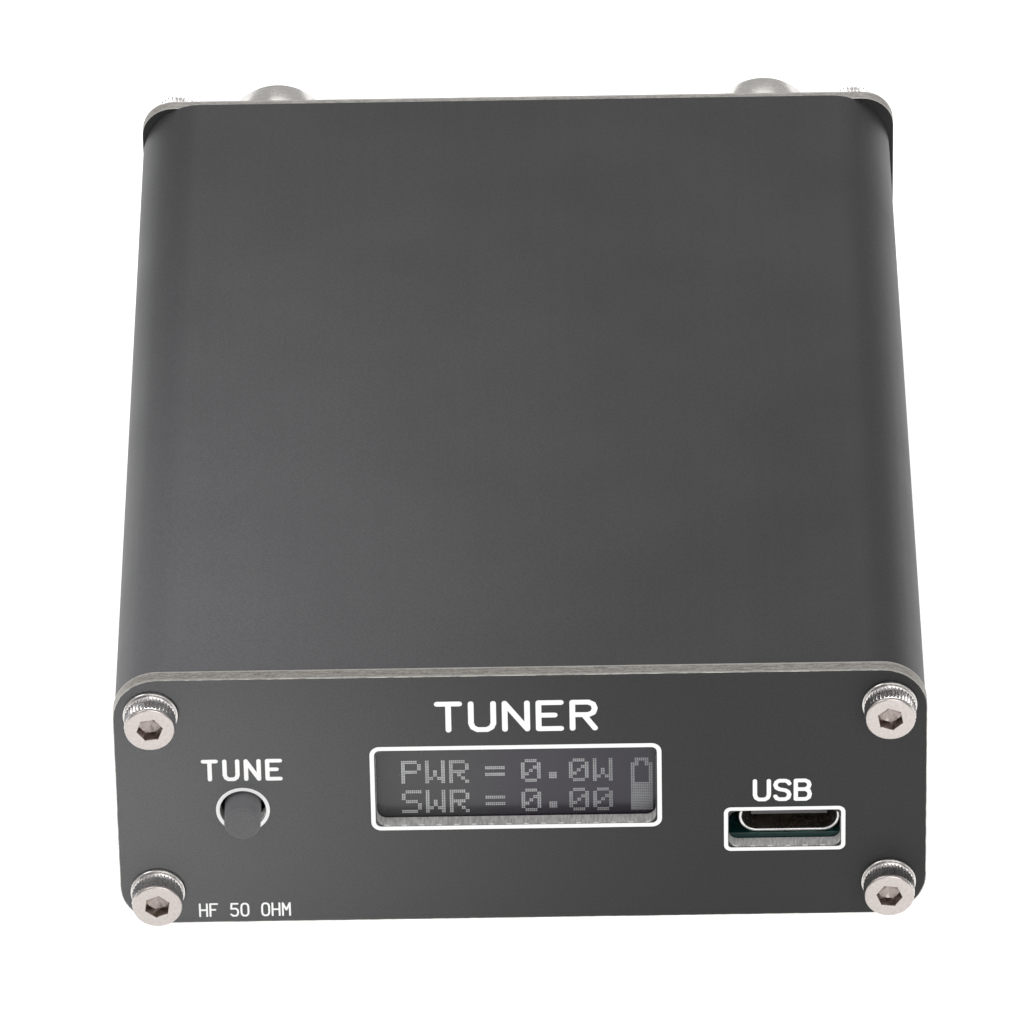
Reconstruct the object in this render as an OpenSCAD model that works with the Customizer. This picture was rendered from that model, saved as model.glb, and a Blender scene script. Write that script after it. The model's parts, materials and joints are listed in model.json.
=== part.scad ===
// Pocket antenna tuner in an extruded aluminium tube closed by two circuit-board panels.
// X runs to the right seen from the front, Y runs to the back, Z is up.
// The origin is the centre of the tube's underside.

/* [Case] */
// Outside width of the extruded tube
case_w = 71; // [70:0.5:74]
// Outside height of the extruded tube
case_h = 26; // [26:0.5:29]
// Length of the extruded tube
case_l = 95.3; // [95:0.1:110]
// Radius of the long outside corners
case_r = 5.5; // [4.5:0.25:6]
// Thickness of the tube's walls
case_wall = 1.3; // [1:0.1:1.5]
// Radius of the screw bosses in the corners
boss_r = 2.4; // [2:0.1:2.6]
// How far the board rails stand out from the side walls
rail_w = 1.5; // [1:0.1:2]
// Thickness of each board rail
rail_t = 1.2; // [0.8:0.1:1.4]

/* [Panels] */
// Thickness of both end panels
panel_t = 1.3; // [1.2:0.1:2]
// Height of the front panel
front_panel_h = 26; // [24:0.25:26]
// Height of the rear panel
rear_panel_h = 25.2; // [24:0.2:26]
// How far the rear panel stands out past the tube's right side
rear_panel_offset = 0.4; // [0:0.1:0.8]
// Radius of the front panel's corners
panel_r = 4; // [3:0.25:4.5]
// Radius of the rear panel's corners
rear_panel_r = 3; // [2.5:0.25:4]
// How far the panels sit above the middle of the tube
panel_lift = 0.15; // [0:0.05:0.3]

/* [Screws] */
// Distance from the middle to each screw, sideways
screw_x = 32.2; // [31.8:0.1:32.4]
// Distance from the middle to each screw, up or down
screw_z = 9.45; // [9.2:0.05:9.7]
// Radius of the thread
thread_r = 1.25; // [1:0.05:1.3]
// Length of the thread under the head
thread_l = 10; // [6:0.5:14]
// Radius of the head
head_r = 2.25; // [2:0.05:2.4]
// Height of the head
head_h = 2.1; // [1.8:0.1:2.5]
// Bevel on the head's front edge
head_bevel = 0.25; // [0.1:0.05:0.4]
// Hexagon key size, across the flats
key_size = 2; // [1.5:0.1:2]
// Depth of the hexagon socket
key_depth = 1.2; // [0.8:0.1:1.4]
// Outside radius of the split washers
washer_r = 2.4; // [2.3:0.05:2.6]
// Thickness of the split washers
washer_t = 0.4; // [0.3:0.05:0.6]
// Width of the washers' split
washer_gap = 0.35; // [0.2:0.05:0.6]

/* [Front openings] */
// Middle of the display window, sideways
window_x = -0.47; // [-1.5:0.01:1.5]
// Middle of the display window above the underside
window_z = 14.28; // [13.5:0.01:15]
// Width of the display window
window_w = 24.5; // [22:0.1:25.5]
// Height of the display window
window_h = 8; // [6:0.1:8.5]
// Corner radius of the display window
window_r = 0.9; // [0.4:0.1:1.5]
// Middle of the USB slot, sideways
slot_x = 23.05; // [22:0.05:24]
// Middle of the USB slot above the underside
slot_z = 9.41; // [9:0.01:10]
// Width of the USB slot
slot_w = 9.8; // [9.4:0.1:11]
// Height of the USB slot
slot_h = 3.8; // [3.6:0.1:4.5]
// Corner radius of the USB slot
slot_r = 0.8; // [0.3:0.1:1.2]

/* [Tune button] */
// Middle of the button, sideways
button_x = -24.45; // [-25:0.05:-24]
// Middle of the button above the underside
button_z = 12.28; // [11.8:0.02:12.8]
// Radius of the button's hole in the front panel
button_hole_r = 2; // [1.9:0.05:2.3]
// Radius of the button
button_r = 1.6; // [1.3:0.05:1.65]
// How far the button stands out of the front panel
button_out = 2.3; // [1:0.1:4]
// Travel of the button
button_travel = 0.25; // [0.15:0.05:0.4]
// Width of the switch body
switch_w = 6; // [5:0.1:6.4]
// Depth of the switch body
switch_d = 3.4; // [3:0.1:4]
// Gap between the front panel and the switch
switch_gap = 3; // [2.7:0.1:4]

/* [Display] */
// Width of the display glass
glass_w = 30; // [28:0.1:31]
// Height of the display glass
glass_h = 11.5; // [10:0.1:11.7]
// Middle of the display glass, sideways
glass_x = -1.2; // [-1.6:0.1:0.2]
// Thickness of each of the two glass plates
plate_t = 0.7; // [0.5:0.05:0.8]
// Bare ledge at the left end of the rear plate, where the driver is bonded
ledge_w = 3.2; // [2.5:0.1:3.4]
// Gap between the front panel and the glass
glass_gap = 0.15; // [0.1:0.05:0.3]
// Width of the display's own board
display_board_w = 38; // [36:0.5:38.5]
// Height of the display's own board
display_board_h = 12; // [11.5:0.1:12.2]
// Thickness of the display's own board
display_board_t = 1; // [0.8:0.1:1.2]
// Distance between the display's pins
pin_pitch = 2.54; // [2:0.02:2.54]

/* [Main board] */
// Width of the main board
board_w = 67.4; // [67:0.1:67.6]
// Distance of the board's middle from the tube's middle, to the right
board_x = 0.4; // [0:0.1:0.4]
// Thickness of the main board
board_t = 1.6; // [1.2:0.1:1.6]
// Height of the board's top face above the underside
board_z = 8; // [7.8:0.05:8.1]
// Gap between the front panel and the board
board_front_gap = 0.1; // [0.05:0.05:0.3]
// Gap between the rear panel and the board
board_rear_gap = 3.4; // [3:0.1:5]

/* [USB port] */
// Middle of the USB receptacle, sideways
usb_x = 23.5; // [23:0.05:23.8]
// Width of the receptacle's shell
usb_w = 8.94; // [8.9:0.02:9]
// Height of the receptacle's shell
usb_h = 3.26; // [3.16:0.02:3.3]
// Thickness of the shell
usb_wall = 0.3; // [0.2:0.02:0.35]
// Length of the shell
usb_l = 7.35; // [7:0.05:8]
// Gap between the front panel and the shell's mouth
usb_gap = 0.2; // [0.1:0.05:1]

/* [RF jacks] */
// Distance from the middle of the pair to each jack
jack_x = 23.5; // [22.5:0.1:24]
// How far the pair sits to the right of the tube's middle
jack_shift = 0.4; // [0:0.05:0.5]
// How far the jacks stand out of the rear panel
jack_out = 16; // [15:0.25:17]
// Radius of the barrel's front stretch
barrel_r = 4.8; // [4.75:0.01:4.85]
// Radius of the barrel behind the studs
neck_r = 5; // [4.96:0.01:5.1]
// Length of the barrel's front stretch
nose_l = 3.9; // [3.5:0.1:3.9]
// Radius of the barrel's bore
jack_bore_r = 4.06; // [4.04:0.01:4.1]
// Distance from the mouth to the middle of the bayonet studs
stud_back = 5; // [4.9:0.05:5.4]
// Radius of the bayonet studs
stud_r = 1; // [0.95:0.01:1.03]
// Distance from the axis to the tip of each stud
stud_tip = 5.5; // [5.45:0.01:5.55]
// Radius of the jack's mounting thread
jack_thread_r = 6.3; // [6.2:0.05:6.35]
// Length of the mounting thread outside the panel
jack_thread_l = 5.5; // [4.5:0.1:6]
// Radius of the shoulder inside the panel
shoulder_r = 7.2; // [7:0.1:7.4]
// Thickness of the shoulder
shoulder_t = 2; // [1.5:0.1:2.2]
// Size of the mounting nut, across the flats
nut_size = 15; // [14.5:0.1:15.5]
// Thickness of the mounting nut
nut_t = 2.4; // [2:0.1:2.8]
// Radius of the contact's socket
socket_r = 0.7; // [0.68:0.01:0.72]

/* [Control jack] */
// Height of the control jack's axis above the underside
control_z = 11.9; // [11.8:0.05:12.2]
// Radius of the control jack's bore
control_bore_r = 1.8; // [1.78:0.01:1.82]
// Radius of the control jack's bushing
control_bushing_r = 3; // [2.8:0.1:3.1]
// How far the bushing stands out of the rear panel
control_out = 1.2; // [0.6:0.1:2.5]
// Width of the control jack's housing
control_w = 8; // [7.6:0.1:8.6]
// Length of the control jack's housing
control_l = 12; // [11:0.1:12.5]

/* [Tuning network] */
// Number of switched coils, and of switched capacitors
steps = 7; // [3:1:7]
// Distance from one network step to the next
step_pitch = 9; // [8.6:0.1:9]
// Distance from the front of the tube to the first step
first_step = 20; // [19.5:0.1:20.5]
// Length of a relay
relay_w = 10; // [9:0.1:10.2]
// Depth of a relay
relay_d = 6.5; // [6:0.1:6.8]
// Height of a relay
relay_h = 5.2; // [5:0.1:9]
// Number of large coils, from the front
large_coils = 3; // [1:1:3]
// Number of turns on a large coil
large_turns = 12; // [6:1:12]
// Number of turns on a small coil
small_turns = 8; // [5:1:8]
// Number of turns on a coupler transformer
coupler_turns = 9; // [5:1:9]

/* [Battery] */
// Width of the battery
battery_w = 34; // [28:1:40]
// Length of the battery
battery_l = 48; // [40:1:52]
// Thickness of the battery
battery_t = 3.4; // [2.5:0.1:3.6]

/* [Hidden] */
$fn = 64;

// How far cutting shapes run past what they cut
cut = 0.5;
// Clearance between two pieces that are assembled face to face or one in the other
ease = 0.03;
// Looser radial clearance round screws, threads and the button
loose = 0.15;

// Ends of the tube and faces of the panels, along Y
front_y = -case_l/2;
rear_y = case_l/2;
front_face = front_y - panel_t;
rear_face = rear_y + panel_t;
mid_z = case_h/2 + panel_lift;
screw_hole_r = thread_r + loose;

// Board edges and faces
board_front = front_y + board_front_gap;
board_back = rear_y - board_rear_gap;
board_under = board_z - board_t;
on_board = board_z + ease;
// Gap between the board and each rail
rail_gap = 0.1;

// Switch behind the tune button
cover_t = 0.3;
cover_hole_r = button_r + loose;
switch_front = front_y + switch_gap;
housing_front = switch_front + cover_t;
switch_top = button_z + switch_w/2;
collar_r = 2.2;
collar_t = 0.6;
collar_gap = 0.05;
switch_cavity_r = 2.4;
switch_cavity_d = 1.7;
dome_gap = 0.08;
leg_w = 0.7;
leg_t = 0.3;
leg_below = 1;
cover_leg_rise = 2;
switch_pin_rise = 2.5;

// Display stack
glass_front = front_y + glass_gap;
display_board_front = glass_front + 2*plate_t + ease;
display_board_back = display_board_front + display_board_t;
display_board_x = glass_x - 0.1;
pin_side = 0.64;
pin_hole_r = 0.5;
pin_count = 4;
header_inset = 1.4;
header_x = display_board_x - display_board_w/2 + header_inset;
header_w = 2.4;
header_t = 2.5;
// Height of the lowest pin above the board, and how far behind the header it bends
lowest_pin = 2.19;
pin_bend = 0.4;
// How far the pins stand out in front of the display's board
pin_front = 0.3;
first_pin_z = on_board + lowest_pin;
first_pin_y = display_board_back + header_t + pin_bend;

// USB receptacle
usb_front = front_y + usb_gap;
usb_mid_z = on_board + usb_h/2;
// Height of the flat stretch at each end of the shell
usb_flat = 0.02;
tongue_w = 6.7;
tongue_t = 0.7;
tongue_front = 0.9;
usb_back_t = 1.5;
pad_w = 0.25;
pad_pitch = 0.5;
pads = 12;
pad_l = 3;
pad_t = 0.05;
// Distance from the tongue's front end to the pads, and their gap above its faces
pad_back = 0.3;
pad_gap = 0.005;

// RF jacks: distances along the axis are from the outside face of the rear panel
jack_z = case_h/2;
input_x = jack_shift + jack_x;
output_x = jack_shift - jack_x;
jack_hole_r = jack_thread_r + loose;
tag_t = 0.3;
shoulder_back = -panel_t - tag_t - 2*ease;
mouth_bevel = 0.3;
// How far the studs reach into the barrel's wall from its bore
stud_root = 0.1;
nose_from = jack_out - nose_l;
nut_hole_r = jack_thread_r + 0.08;
lock_washer_hole_r = jack_thread_r + 0.1;
// Turn of each nut about its jack's axis
input_nut_turn = 12;
output_nut_turn = 38;
lock_washer_t = 0.5;
lock_washer_r = 7.9;
lock_teeth = 12;
dielectric_r = 2.45;
dielectric_short = 0.2;
dielectric_base = 7.3;
dielectric_step = 5;
rear_insulator_r = 3.5;
rear_insulator_end = -5.5;
contact_r = 1.05;
contact_short = 0.3;
contact_base = 6;
contact_depth = 5;
lead_r = 0.6;
pin_end = -9;
input_lead_l = 15;
output_lead_l = 5;

// Control jack: its housing stands just inside the tube's rear end, with a slot in each side for a spring
control_back = rear_y - 0.4;
control_front = control_back - control_l;
control_h = 7.4;
control_front_wall = 1;
control_inner_r = control_bore_r + 0.4;
bushing_in = 1.5;
bushing_hole_r = control_bushing_r + 0.1;
contact_slot_w = 1.1;
contact_slot_h = 2;
contact_slot_l = control_l - 6;
contact_slot_front = 2;
leaf_t = 0.3;
leaf_h = 1.6;
leaf_gap = 0.5;

// Tuning network
coil_x = -25.2;
inductor_relay_x = -10.5;
capacitor_relay_x = 9.5;
capacitor_x = 18.6;
capacitor_w = 4.5;
capacitor_d = 3.2;
capacitor_h = 2;
wire_t = 0.6;
coupler_wire_t = 0.4;
wire_gap = 0.06;
// Each core is outside radius, hole radius and thickness
large_core = [6.35, 3.85, 4.8];
small_core = [4.75, 2.6, 3.2];
coupler_core = [4, 2, 3.2];
coupler_sensor_x = input_x + 1;
coupler_y = rear_y - 17;
coupler_spacing = 10;
network_relay_x = -12;
network_relay_y = rear_y - 11.5;

// Chips
controller_x = -1;
controller_y = front_y + 11;
controller_w = 7;
controller_h = 1;
controller_side_leads = 8;
controller_pitch = 0.8;
controller_lead_w = 0.35;
lead_reach = 1;
lead_lift = 0.1;
driver_x = -0.5;
driver_w = 3.9;
driver_l = 9.9;
driver_h = 1.5;
driver_side_leads = 8;
driver_pitch = 1.27;
driver_lead_w = 0.42;
drivers = 3;
first_driver = 29;
driver_spacing = 18;
charger_x = 19.5;
charger_l = 4.9;
power_y = front_y + 14;
power_inductor_x = 27.5;
power_inductor_w = 6;
power_inductor_h = 3;
power_inductor_r = 1;

// Battery
tape_t = 0.25;
tape_inset = 3;
cell_r = 1.5;
cell_z = case_wall + tape_t + 2*ease;
battery_y = front_y + 58;
protection_l = 3;
protection_inset = 2;
protection_t = battery_t - 0.6;
battery_front = battery_y - battery_l/2;
protection_front = battery_front - protection_l - ease;
socket_x = 10;
socket_w = 7.9;
socket_l = 7.6;
socket_h = 4.6;
socket_front = front_y + 12;
plug_w = 5.8;
plug_h = 3.4;
plug_in = 5.5;
plug_out = 1.4;
wire_r = 0.6;
wire_spread = 1;
plug_back = socket_front + socket_l + plug_out;

// ---- Shared shapes ----

module rounded_rect(w, h, r) {
    square([w - 2*r, h], center = true);
    square([w, h - 2*r], center = true);
    for (x = [-1, 1], y = [-1, 1])
        translate([x*(w/2 - r), y*(h/2 - r)])
            circle(r = r);
}

// Extrudes a shape drawn in X and Z along Y
module along_y(y, length) {
    translate([0, y + length, 0])
        rotate([90, 0, 0])
            linear_extrude(length)
                children();
}

// Turns a profile of radius against distance about an axis that runs along +Y
module turned_y(x, y, z) {
    translate([x, y, z])
        rotate([-90, 0, 0])
            rotate_extrude()
                children();
}

module rod_y(x, y, z, r, length) {
    translate([x, y, z])
        rotate([-90, 0, 0])
            cylinder(r = r, h = length);
}

// A block given by the middle of its underside
module block(x, y, z, w, d, h) {
    translate([x - w/2, y - d/2, z])
        cube([w, d, h]);
}

// Places children at the four screws, drawn in X and Z
module at_screws_2d() {
    for (x = [-1, 1], z = [-1, 1])
        translate([x*screw_x, mid_z + z*screw_z])
            children();
}

// Places children at the front screws, with +Z turned to the front
module at_front_screws() {
    for (x = [0, 1], z = [0, 1])
        translate([(2*x - 1)*screw_x, front_face, mid_z + (2*z - 1)*screw_z])
            rotate([90, 0, 0])
                rotate(22 + 31*x + 47*z)
                    children();
}

// Places children at the rear screws, with +Z turned to the back
module at_rear_screws() {
    for (x = [0, 1], z = [0, 1])
        translate([(2*x - 1)*screw_x, rear_face, mid_z + (2*z - 1)*screw_z])
            rotate([-90, 0, 0])
                rotate(10 + 25*x + 38*z)
                    children();
}

// ---- Case ----

module case_profile() {
    difference() {
        translate([0, case_h/2])
            rounded_rect(case_w, case_h, case_r);
        difference() {
            translate([0, case_h/2])
                rounded_rect(case_w - 2*case_wall, case_h - 2*case_wall, case_r - case_wall);
            at_screws_2d()
                circle(r = boss_r);
            board_rails();
        }
        at_screws_2d()
            circle(r = thread_r + ease);
    }
}

// Pairs of rails that hold the main board's edges
module board_rails() {
    rail_x = case_w/2 - case_wall;
    for (side = [-1, 1], z = [board_under - rail_gap - rail_t, board_z + rail_gap])
        translate([side*(rail_x - rail_w/2 + cut/2), z + rail_t/2])
            square([rail_w + cut, rail_t], center = true);
}

module case_tube() {
    color([0.17, 0.17, 0.18])
        along_y(front_y, case_l)
            case_profile();
}

module front_panel() {
    color([0.13, 0.13, 0.13])
        along_y(front_face, panel_t)
            difference() {
                translate([0, mid_z])
                    rounded_rect(case_w, front_panel_h, panel_r);
                at_screws_2d()
                    circle(r = screw_hole_r);
                translate([window_x, window_z])
                    rounded_rect(window_w, window_h, window_r);
                translate([slot_x, slot_z])
                    rounded_rect(slot_w, slot_h, slot_r);
                translate([button_x, button_z])
                    circle(r = button_hole_r);
            }
}

module rear_panel() {
    color([0.13, 0.13, 0.13])
        along_y(rear_y, panel_t)
            difference() {
                translate([rear_panel_offset/2, case_h/2])
                    rounded_rect(case_w + rear_panel_offset, rear_panel_h, rear_panel_r);
                at_screws_2d()
                    circle(r = screw_hole_r);
                for (x = [input_x, output_x])
                    translate([x, jack_z])
                        circle(r = jack_hole_r);
                translate([board_x, control_z])
                    circle(r = bushing_hole_r);
            }
}

// ---- Fasteners ----

// Socket head screw that stands on z = 0 with its washer under the head
module cap_screw() {
    tip = 0.3;
    seat = washer_t + ease;
    drill_l = key_size/4;
    drill_r = key_size/2 - 0.02;
    translate([0, 0, seat])
        difference() {
            rotate_extrude()
                polygon([
                    [0, -thread_l],
                    [thread_r - tip, -thread_l],
                    [thread_r, tip - thread_l],
                    [thread_r, 0],
                    [head_r, 0],
                    [head_r, head_h - head_bevel],
                    [head_r - head_bevel, head_h],
                    [0, head_h]
                ]);
            translate([0, 0, head_h - key_depth])
                cylinder(r = key_size/2/cos(30), h = key_depth + cut, $fn = 6);
            translate([0, 0, head_h - key_depth - drill_l])
                cylinder(r1 = drill_r/20, r2 = drill_r, h = drill_l + ease/2);
        }
}

module split_washer() {
    difference() {
        cylinder(r = washer_r, h = washer_t);
        translate([0, 0, -cut])
            cylinder(r = screw_hole_r, h = washer_t + 2*cut);
        translate([-washer_r - cut, -washer_gap/2, -cut])
            cube([washer_r + cut, washer_gap, washer_t + 2*cut]);
    }
}

module front_screws() {
    color([0.75, 0.74, 0.72])
        at_front_screws()
            cap_screw();
}

module rear_screws() {
    color([0.75, 0.74, 0.72])
        at_rear_screws()
            cap_screw();
}

module front_spring_washers() {
    color([0.7, 0.7, 0.7])
        at_front_screws()
            translate([0, 0, ease/2])
                split_washer();
}

module rear_spring_washers() {
    color([0.7, 0.7, 0.7])
        at_rear_screws()
            translate([0, 0, ease/2])
                split_washer();
}

// ---- Tune button and its switch ----

module tune_button() {
    bevel = 0.18;
    stem_l = housing_front - front_face + button_out + collar_gap;
    color([0.08, 0.08, 0.08])
        turned_y(button_x, front_face - button_out, button_z)
            polygon([
                [0, 0],
                [button_r - bevel, 0],
                [button_r, bevel],
                [button_r, stem_l],
                [collar_r, stem_l],
                [collar_r, stem_l + collar_t],
                [0, stem_l + collar_t]
            ]);
}

module tune_switch_housing() {
    color([0.1, 0.1, 0.1])
        difference() {
            translate([button_x - switch_w/2, housing_front + ease, on_board])
                cube([switch_w, switch_d, switch_top - on_board]);
            rod_y(button_x, housing_front - cut, button_z, switch_cavity_r, switch_cavity_d + cut);
        }
}

// Metal cover plate with two legs that go down through the board
module tune_switch_cover() {
    leg_top = on_board + cover_leg_rise;
    color([0.75, 0.75, 0.75]) {
        difference() {
            translate([button_x - switch_w/2, switch_front, on_board])
                cube([switch_w, cover_t, switch_top - on_board]);
            rod_y(button_x, switch_front - cut, button_z, cover_hole_r, cover_t + 2*cut);
        }
        for (side = [-1, 1])
            block(button_x + side*(switch_w - leg_w)/2, switch_front + leg_t/2, board_under - leg_below,
                leg_w, leg_t, leg_top - board_under + leg_below);
    }
}

module tune_switch_dome() {
    dome_r = 2;
    dome_t = 0.15;
    dome_h = 0.35;
    collar_back = housing_front + collar_gap + collar_t;
    color([0.8, 0.78, 0.7])
        turned_y(button_x, collar_back + button_travel + dome_gap, button_z)
            polygon([
                [0, 0],
                [0.5*dome_r, 0.25*dome_h],
                [dome_r, dome_h],
                [dome_r, dome_h + dome_t],
                [0.5*dome_r, 0.25*dome_h + dome_t],
                [0, dome_t]
            ]);
}

module tune_switch_pins() {
    pin_y = housing_front + switch_d + 2*ease;
    color([0.8, 0.8, 0.78])
        for (side = [-1, 1])
            block(button_x + side*switch_w/4, pin_y + leg_t/2, board_under - leg_below,
                leg_w, leg_t, on_board + switch_pin_rise - board_under + leg_below);
}

// ---- Display ----

module display_glass() {
    color([0.04, 0.04, 0.06]) {
        translate([glass_x - glass_w/2, glass_front + plate_t, on_board])
            cube([glass_w, plate_t, glass_h]);
        translate([glass_x - glass_w/2 + ledge_w, glass_front, on_board])
            cube([glass_w - ledge_w, plate_t, glass_h]);
    }
}

module display_board() {
    color([0.05, 0.12, 0.3])
        difference() {
            translate([display_board_x - display_board_w/2, display_board_front, on_board])
                cube([display_board_w, display_board_t, display_board_h]);
            for (i = [0 : pin_count - 1])
                rod_y(header_x, display_board_front - cut, first_pin_z + i*pin_pitch,
                    pin_hole_r, display_board_t + 2*cut);
        }
}

module display_header() {
    hole = pin_side + 0.04;
    header_h = pin_count*pin_pitch;
    color([0.08, 0.08, 0.08])
        difference() {
            translate([header_x - header_w/2, display_board_back + ease, first_pin_z - pin_pitch/2])
                cube([header_w, header_t, header_h]);
            for (i = [0 : pin_count - 1])
                block(header_x, display_board_back + header_t/2, first_pin_z + i*pin_pitch - hole/2,
                    hole, header_t + 2*cut, hole);
        }
}

// Angled pins: each runs back from the display's board and then down through the main board
module display_pins() {
    front = display_board_front - pin_front;
    foot = board_under - leg_below;
    color([0.8, 0.7, 0.4])
        for (i = [0 : pin_count - 1]) {
            z = first_pin_z + i*pin_pitch;
            back = first_pin_y + i*pin_pitch;
            translate([header_x - pin_side/2, front, z - pin_side/2])
                cube([pin_side, back - front + pin_side/2, pin_side]);
            translate([header_x - pin_side/2, back - pin_side/2, foot])
                cube([pin_side, pin_side, z + pin_side/2 - foot]);
        }
}

// ---- USB port ----

module usb_outline(inset) {
    translate([usb_x, usb_mid_z])
        rounded_rect(usb_w - 2*inset, usb_h - 2*inset, usb_h/2 - inset - usb_flat/2);
}

module usb_shell() {
    color([0.75, 0.75, 0.76])
        along_y(usb_front, usb_l)
            difference() {
                usb_outline(0);
                usb_outline(usb_wall);
            }
}

// Plastic tongue on a block that closes the back of the shell
module usb_tongue() {
    color([0.05, 0.05, 0.05]) {
        along_y(usb_front + usb_l - usb_back_t, usb_back_t)
            usb_outline(usb_wall + ease);
        translate([usb_x - tongue_w/2, usb_front + tongue_front, usb_mid_z - tongue_t/2])
            cube([tongue_w, usb_l - tongue_front - usb_back_t, tongue_t]);
    }
}

module usb_contacts() {
    color([0.85, 0.7, 0.35])
        for (i = [0 : pads - 1], side = [-1, 1])
            translate([
                usb_x + (i - (pads - 1)/2)*pad_pitch - pad_w/2,
                usb_front + tongue_front + pad_back,
                usb_mid_z + side*(tongue_t/2 + pad_t/2 + pad_gap) - pad_t/2
            ])
                cube([pad_w, pad_l, pad_t]);
}

// ---- Main board ----

module main_board() {
    through = board_t + 2*cut;
    color([0.04, 0.22, 0.16])
        difference() {
            translate([board_x - board_w/2, board_front, board_under])
                cube([board_w, board_back - board_front, board_t]);
            for (i = [0 : pin_count - 1])
                translate([header_x, first_pin_y + i*pin_pitch, board_under - cut])
                    cylinder(r = pin_hole_r, h = through);
            for (side = [-1, 1]) {
                translate([button_x + side*(switch_w - leg_w)/2, switch_front + leg_t/2, board_under - cut])
                    cylinder(r = pin_hole_r, h = through);
                translate([
                    button_x + side*switch_w/4,
                    housing_front + switch_d + 2*ease + leg_t/2,
                    board_under - cut
                ])
                    cylinder(r = pin_hole_r, h = through);
            }
        }
}

// ---- RF jacks ----

module jack_body(x) {
    color([0.75, 0.75, 0.74]) {
        turned_y(x, rear_face, jack_z)
            polygon([
                [rear_insulator_r, shoulder_back - shoulder_t],
                [shoulder_r, shoulder_back - shoulder_t],
                [shoulder_r, shoulder_back],
                [jack_thread_r, shoulder_back],
                [jack_thread_r, jack_thread_l],
                [neck_r, jack_thread_l],
                [neck_r, nose_from],
                [barrel_r, nose_from],
                [barrel_r, jack_out - mouth_bevel],
                [barrel_r - mouth_bevel, jack_out],
                [jack_bore_r, jack_out],
                [jack_bore_r, dielectric_step],
                [rear_insulator_r, dielectric_step]
            ]);
        // Bayonet studs, left and right
        for (side = [-1, 1])
            translate([x + side*(jack_bore_r + stud_root), rear_face + jack_out - stud_back, jack_z])
                rotate([0, side*90, 0])
                    cylinder(r = stud_r, h = stud_tip - jack_bore_r - stud_root);
    }
}

module jack_insulator(x) {
    color([0.95, 0.95, 0.93])
        turned_y(x, rear_face, jack_z)
            polygon([
                [lead_r + ease, rear_insulator_end],
                [rear_insulator_r - ease, rear_insulator_end],
                [rear_insulator_r - ease, dielectric_step + ease],
                [jack_bore_r - ease, dielectric_step + ease],
                [jack_bore_r - ease, dielectric_base],
                [dielectric_r, dielectric_base],
                [dielectric_r, jack_out - dielectric_short],
                [contact_r + ease, jack_out - dielectric_short],
                [contact_r + ease, contact_base - ease],
                [lead_r + ease, contact_base - ease]
            ]);
}

// Centre contact: a socket in front and a solder pin behind
module jack_contact(x) {
    mouth = jack_out - contact_short;
    color([0.85, 0.68, 0.3])
        turned_y(x, rear_face, jack_z)
            polygon([
                [0, pin_end],
                [lead_r, pin_end],
                [lead_r, contact_base],
                [contact_r, contact_base],
                [contact_r, mouth],
                [socket_r, mouth],
                [socket_r, mouth - contact_depth],
                [0, mouth - contact_depth]
            ]);
}

// Bare wire from a jack's solder pin, straight to the front and then down to the board
module jack_lead(x, length) {
    y = rear_face + pin_end - ease - length;
    color([0.8, 0.5, 0.3]) {
        rod_y(x, y, jack_z, lead_r, length);
        translate([x, y, on_board])
            cylinder(r = lead_r, h = jack_z - on_board);
        translate([x, y, jack_z])
            sphere(r = lead_r);
    }
}

module input_jack_body() {
    jack_body(input_x);
}

module input_jack_insulator() {
    jack_insulator(input_x);
}

module input_jack_contact() {
    jack_contact(input_x);
}

module input_lead() {
    jack_lead(input_x, input_lead_l);
}

module output_jack_body() {
    jack_body(output_x);
}

module output_jack_insulator() {
    jack_insulator(output_x);
}

module output_jack_contact() {
    jack_contact(output_x);
}

module output_lead() {
    jack_lead(output_x, output_lead_l);
}

module jack_nuts() {
    bevel = 0.5;
    corner_r = nut_size/2/cos(30);
    nut_back = lock_washer_t + 2*ease;
    color([0.78, 0.77, 0.74])
        for (x = [input_x, output_x])
            intersection() {
                difference() {
                    translate([x, rear_face + nut_back, jack_z])
                        rotate([-90, 0, 0])
                            rotate(x > 0 ? input_nut_turn : output_nut_turn)
                                cylinder(r = corner_r, h = nut_t, $fn = 6);
                    rod_y(x, rear_face, jack_z, nut_hole_r, nut_back + nut_t + cut);
                }
                turned_y(x, rear_face + nut_back, jack_z)
                    polygon([
                        [0, 0],
                        [corner_r, 0],
                        [corner_r, nut_t - bevel],
                        [nut_size/2, nut_t],
                        [0, nut_t]
                    ]);
            }
}

// Washers with a ring of small outside teeth
module jack_lock_washers() {
    tooth_w = 1.1;
    tooth_d = 0.9;
    color([0.72, 0.72, 0.7])
        for (x = [input_x, output_x])
            along_y(rear_face + ease, lock_washer_t)
                translate([x, jack_z])
                    difference() {
                        circle(r = lock_washer_r);
                        circle(r = lock_washer_hole_r);
                        for (i = [0 : lock_teeth - 1])
                            rotate(i*360/lock_teeth)
                                translate([lock_washer_r, 0])
                                    square([2*tooth_d, tooth_w], center = true);
                    }
}

// Solder rings behind the panel, each with a tail that stands on the board
module jack_ground_tags() {
    ring_r = 7.5;
    tail_x = 7.9;
    tail_top = 10.5;
    tail_l = 7;
    ring_front = rear_face - panel_t - tag_t - ease;
    color([0.8, 0.78, 0.7])
        for (x = [input_x, output_x]) {
            along_y(ring_front, tag_t)
                difference() {
                    union() {
                        translate([x, jack_z])
                            circle(r = ring_r);
                        translate([x + tail_x/2, (on_board + tail_top)/2])
                            square([tail_x, tail_top - on_board], center = true);
                    }
                    translate([x, jack_z])
                        circle(r = jack_hole_r);
                }
            translate([x + tail_x - tag_t, ring_front - tail_l, on_board])
                cube([tag_t, tail_l + tag_t, tail_top - on_board]);
        }
}

// ---- Control jack ----

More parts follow.
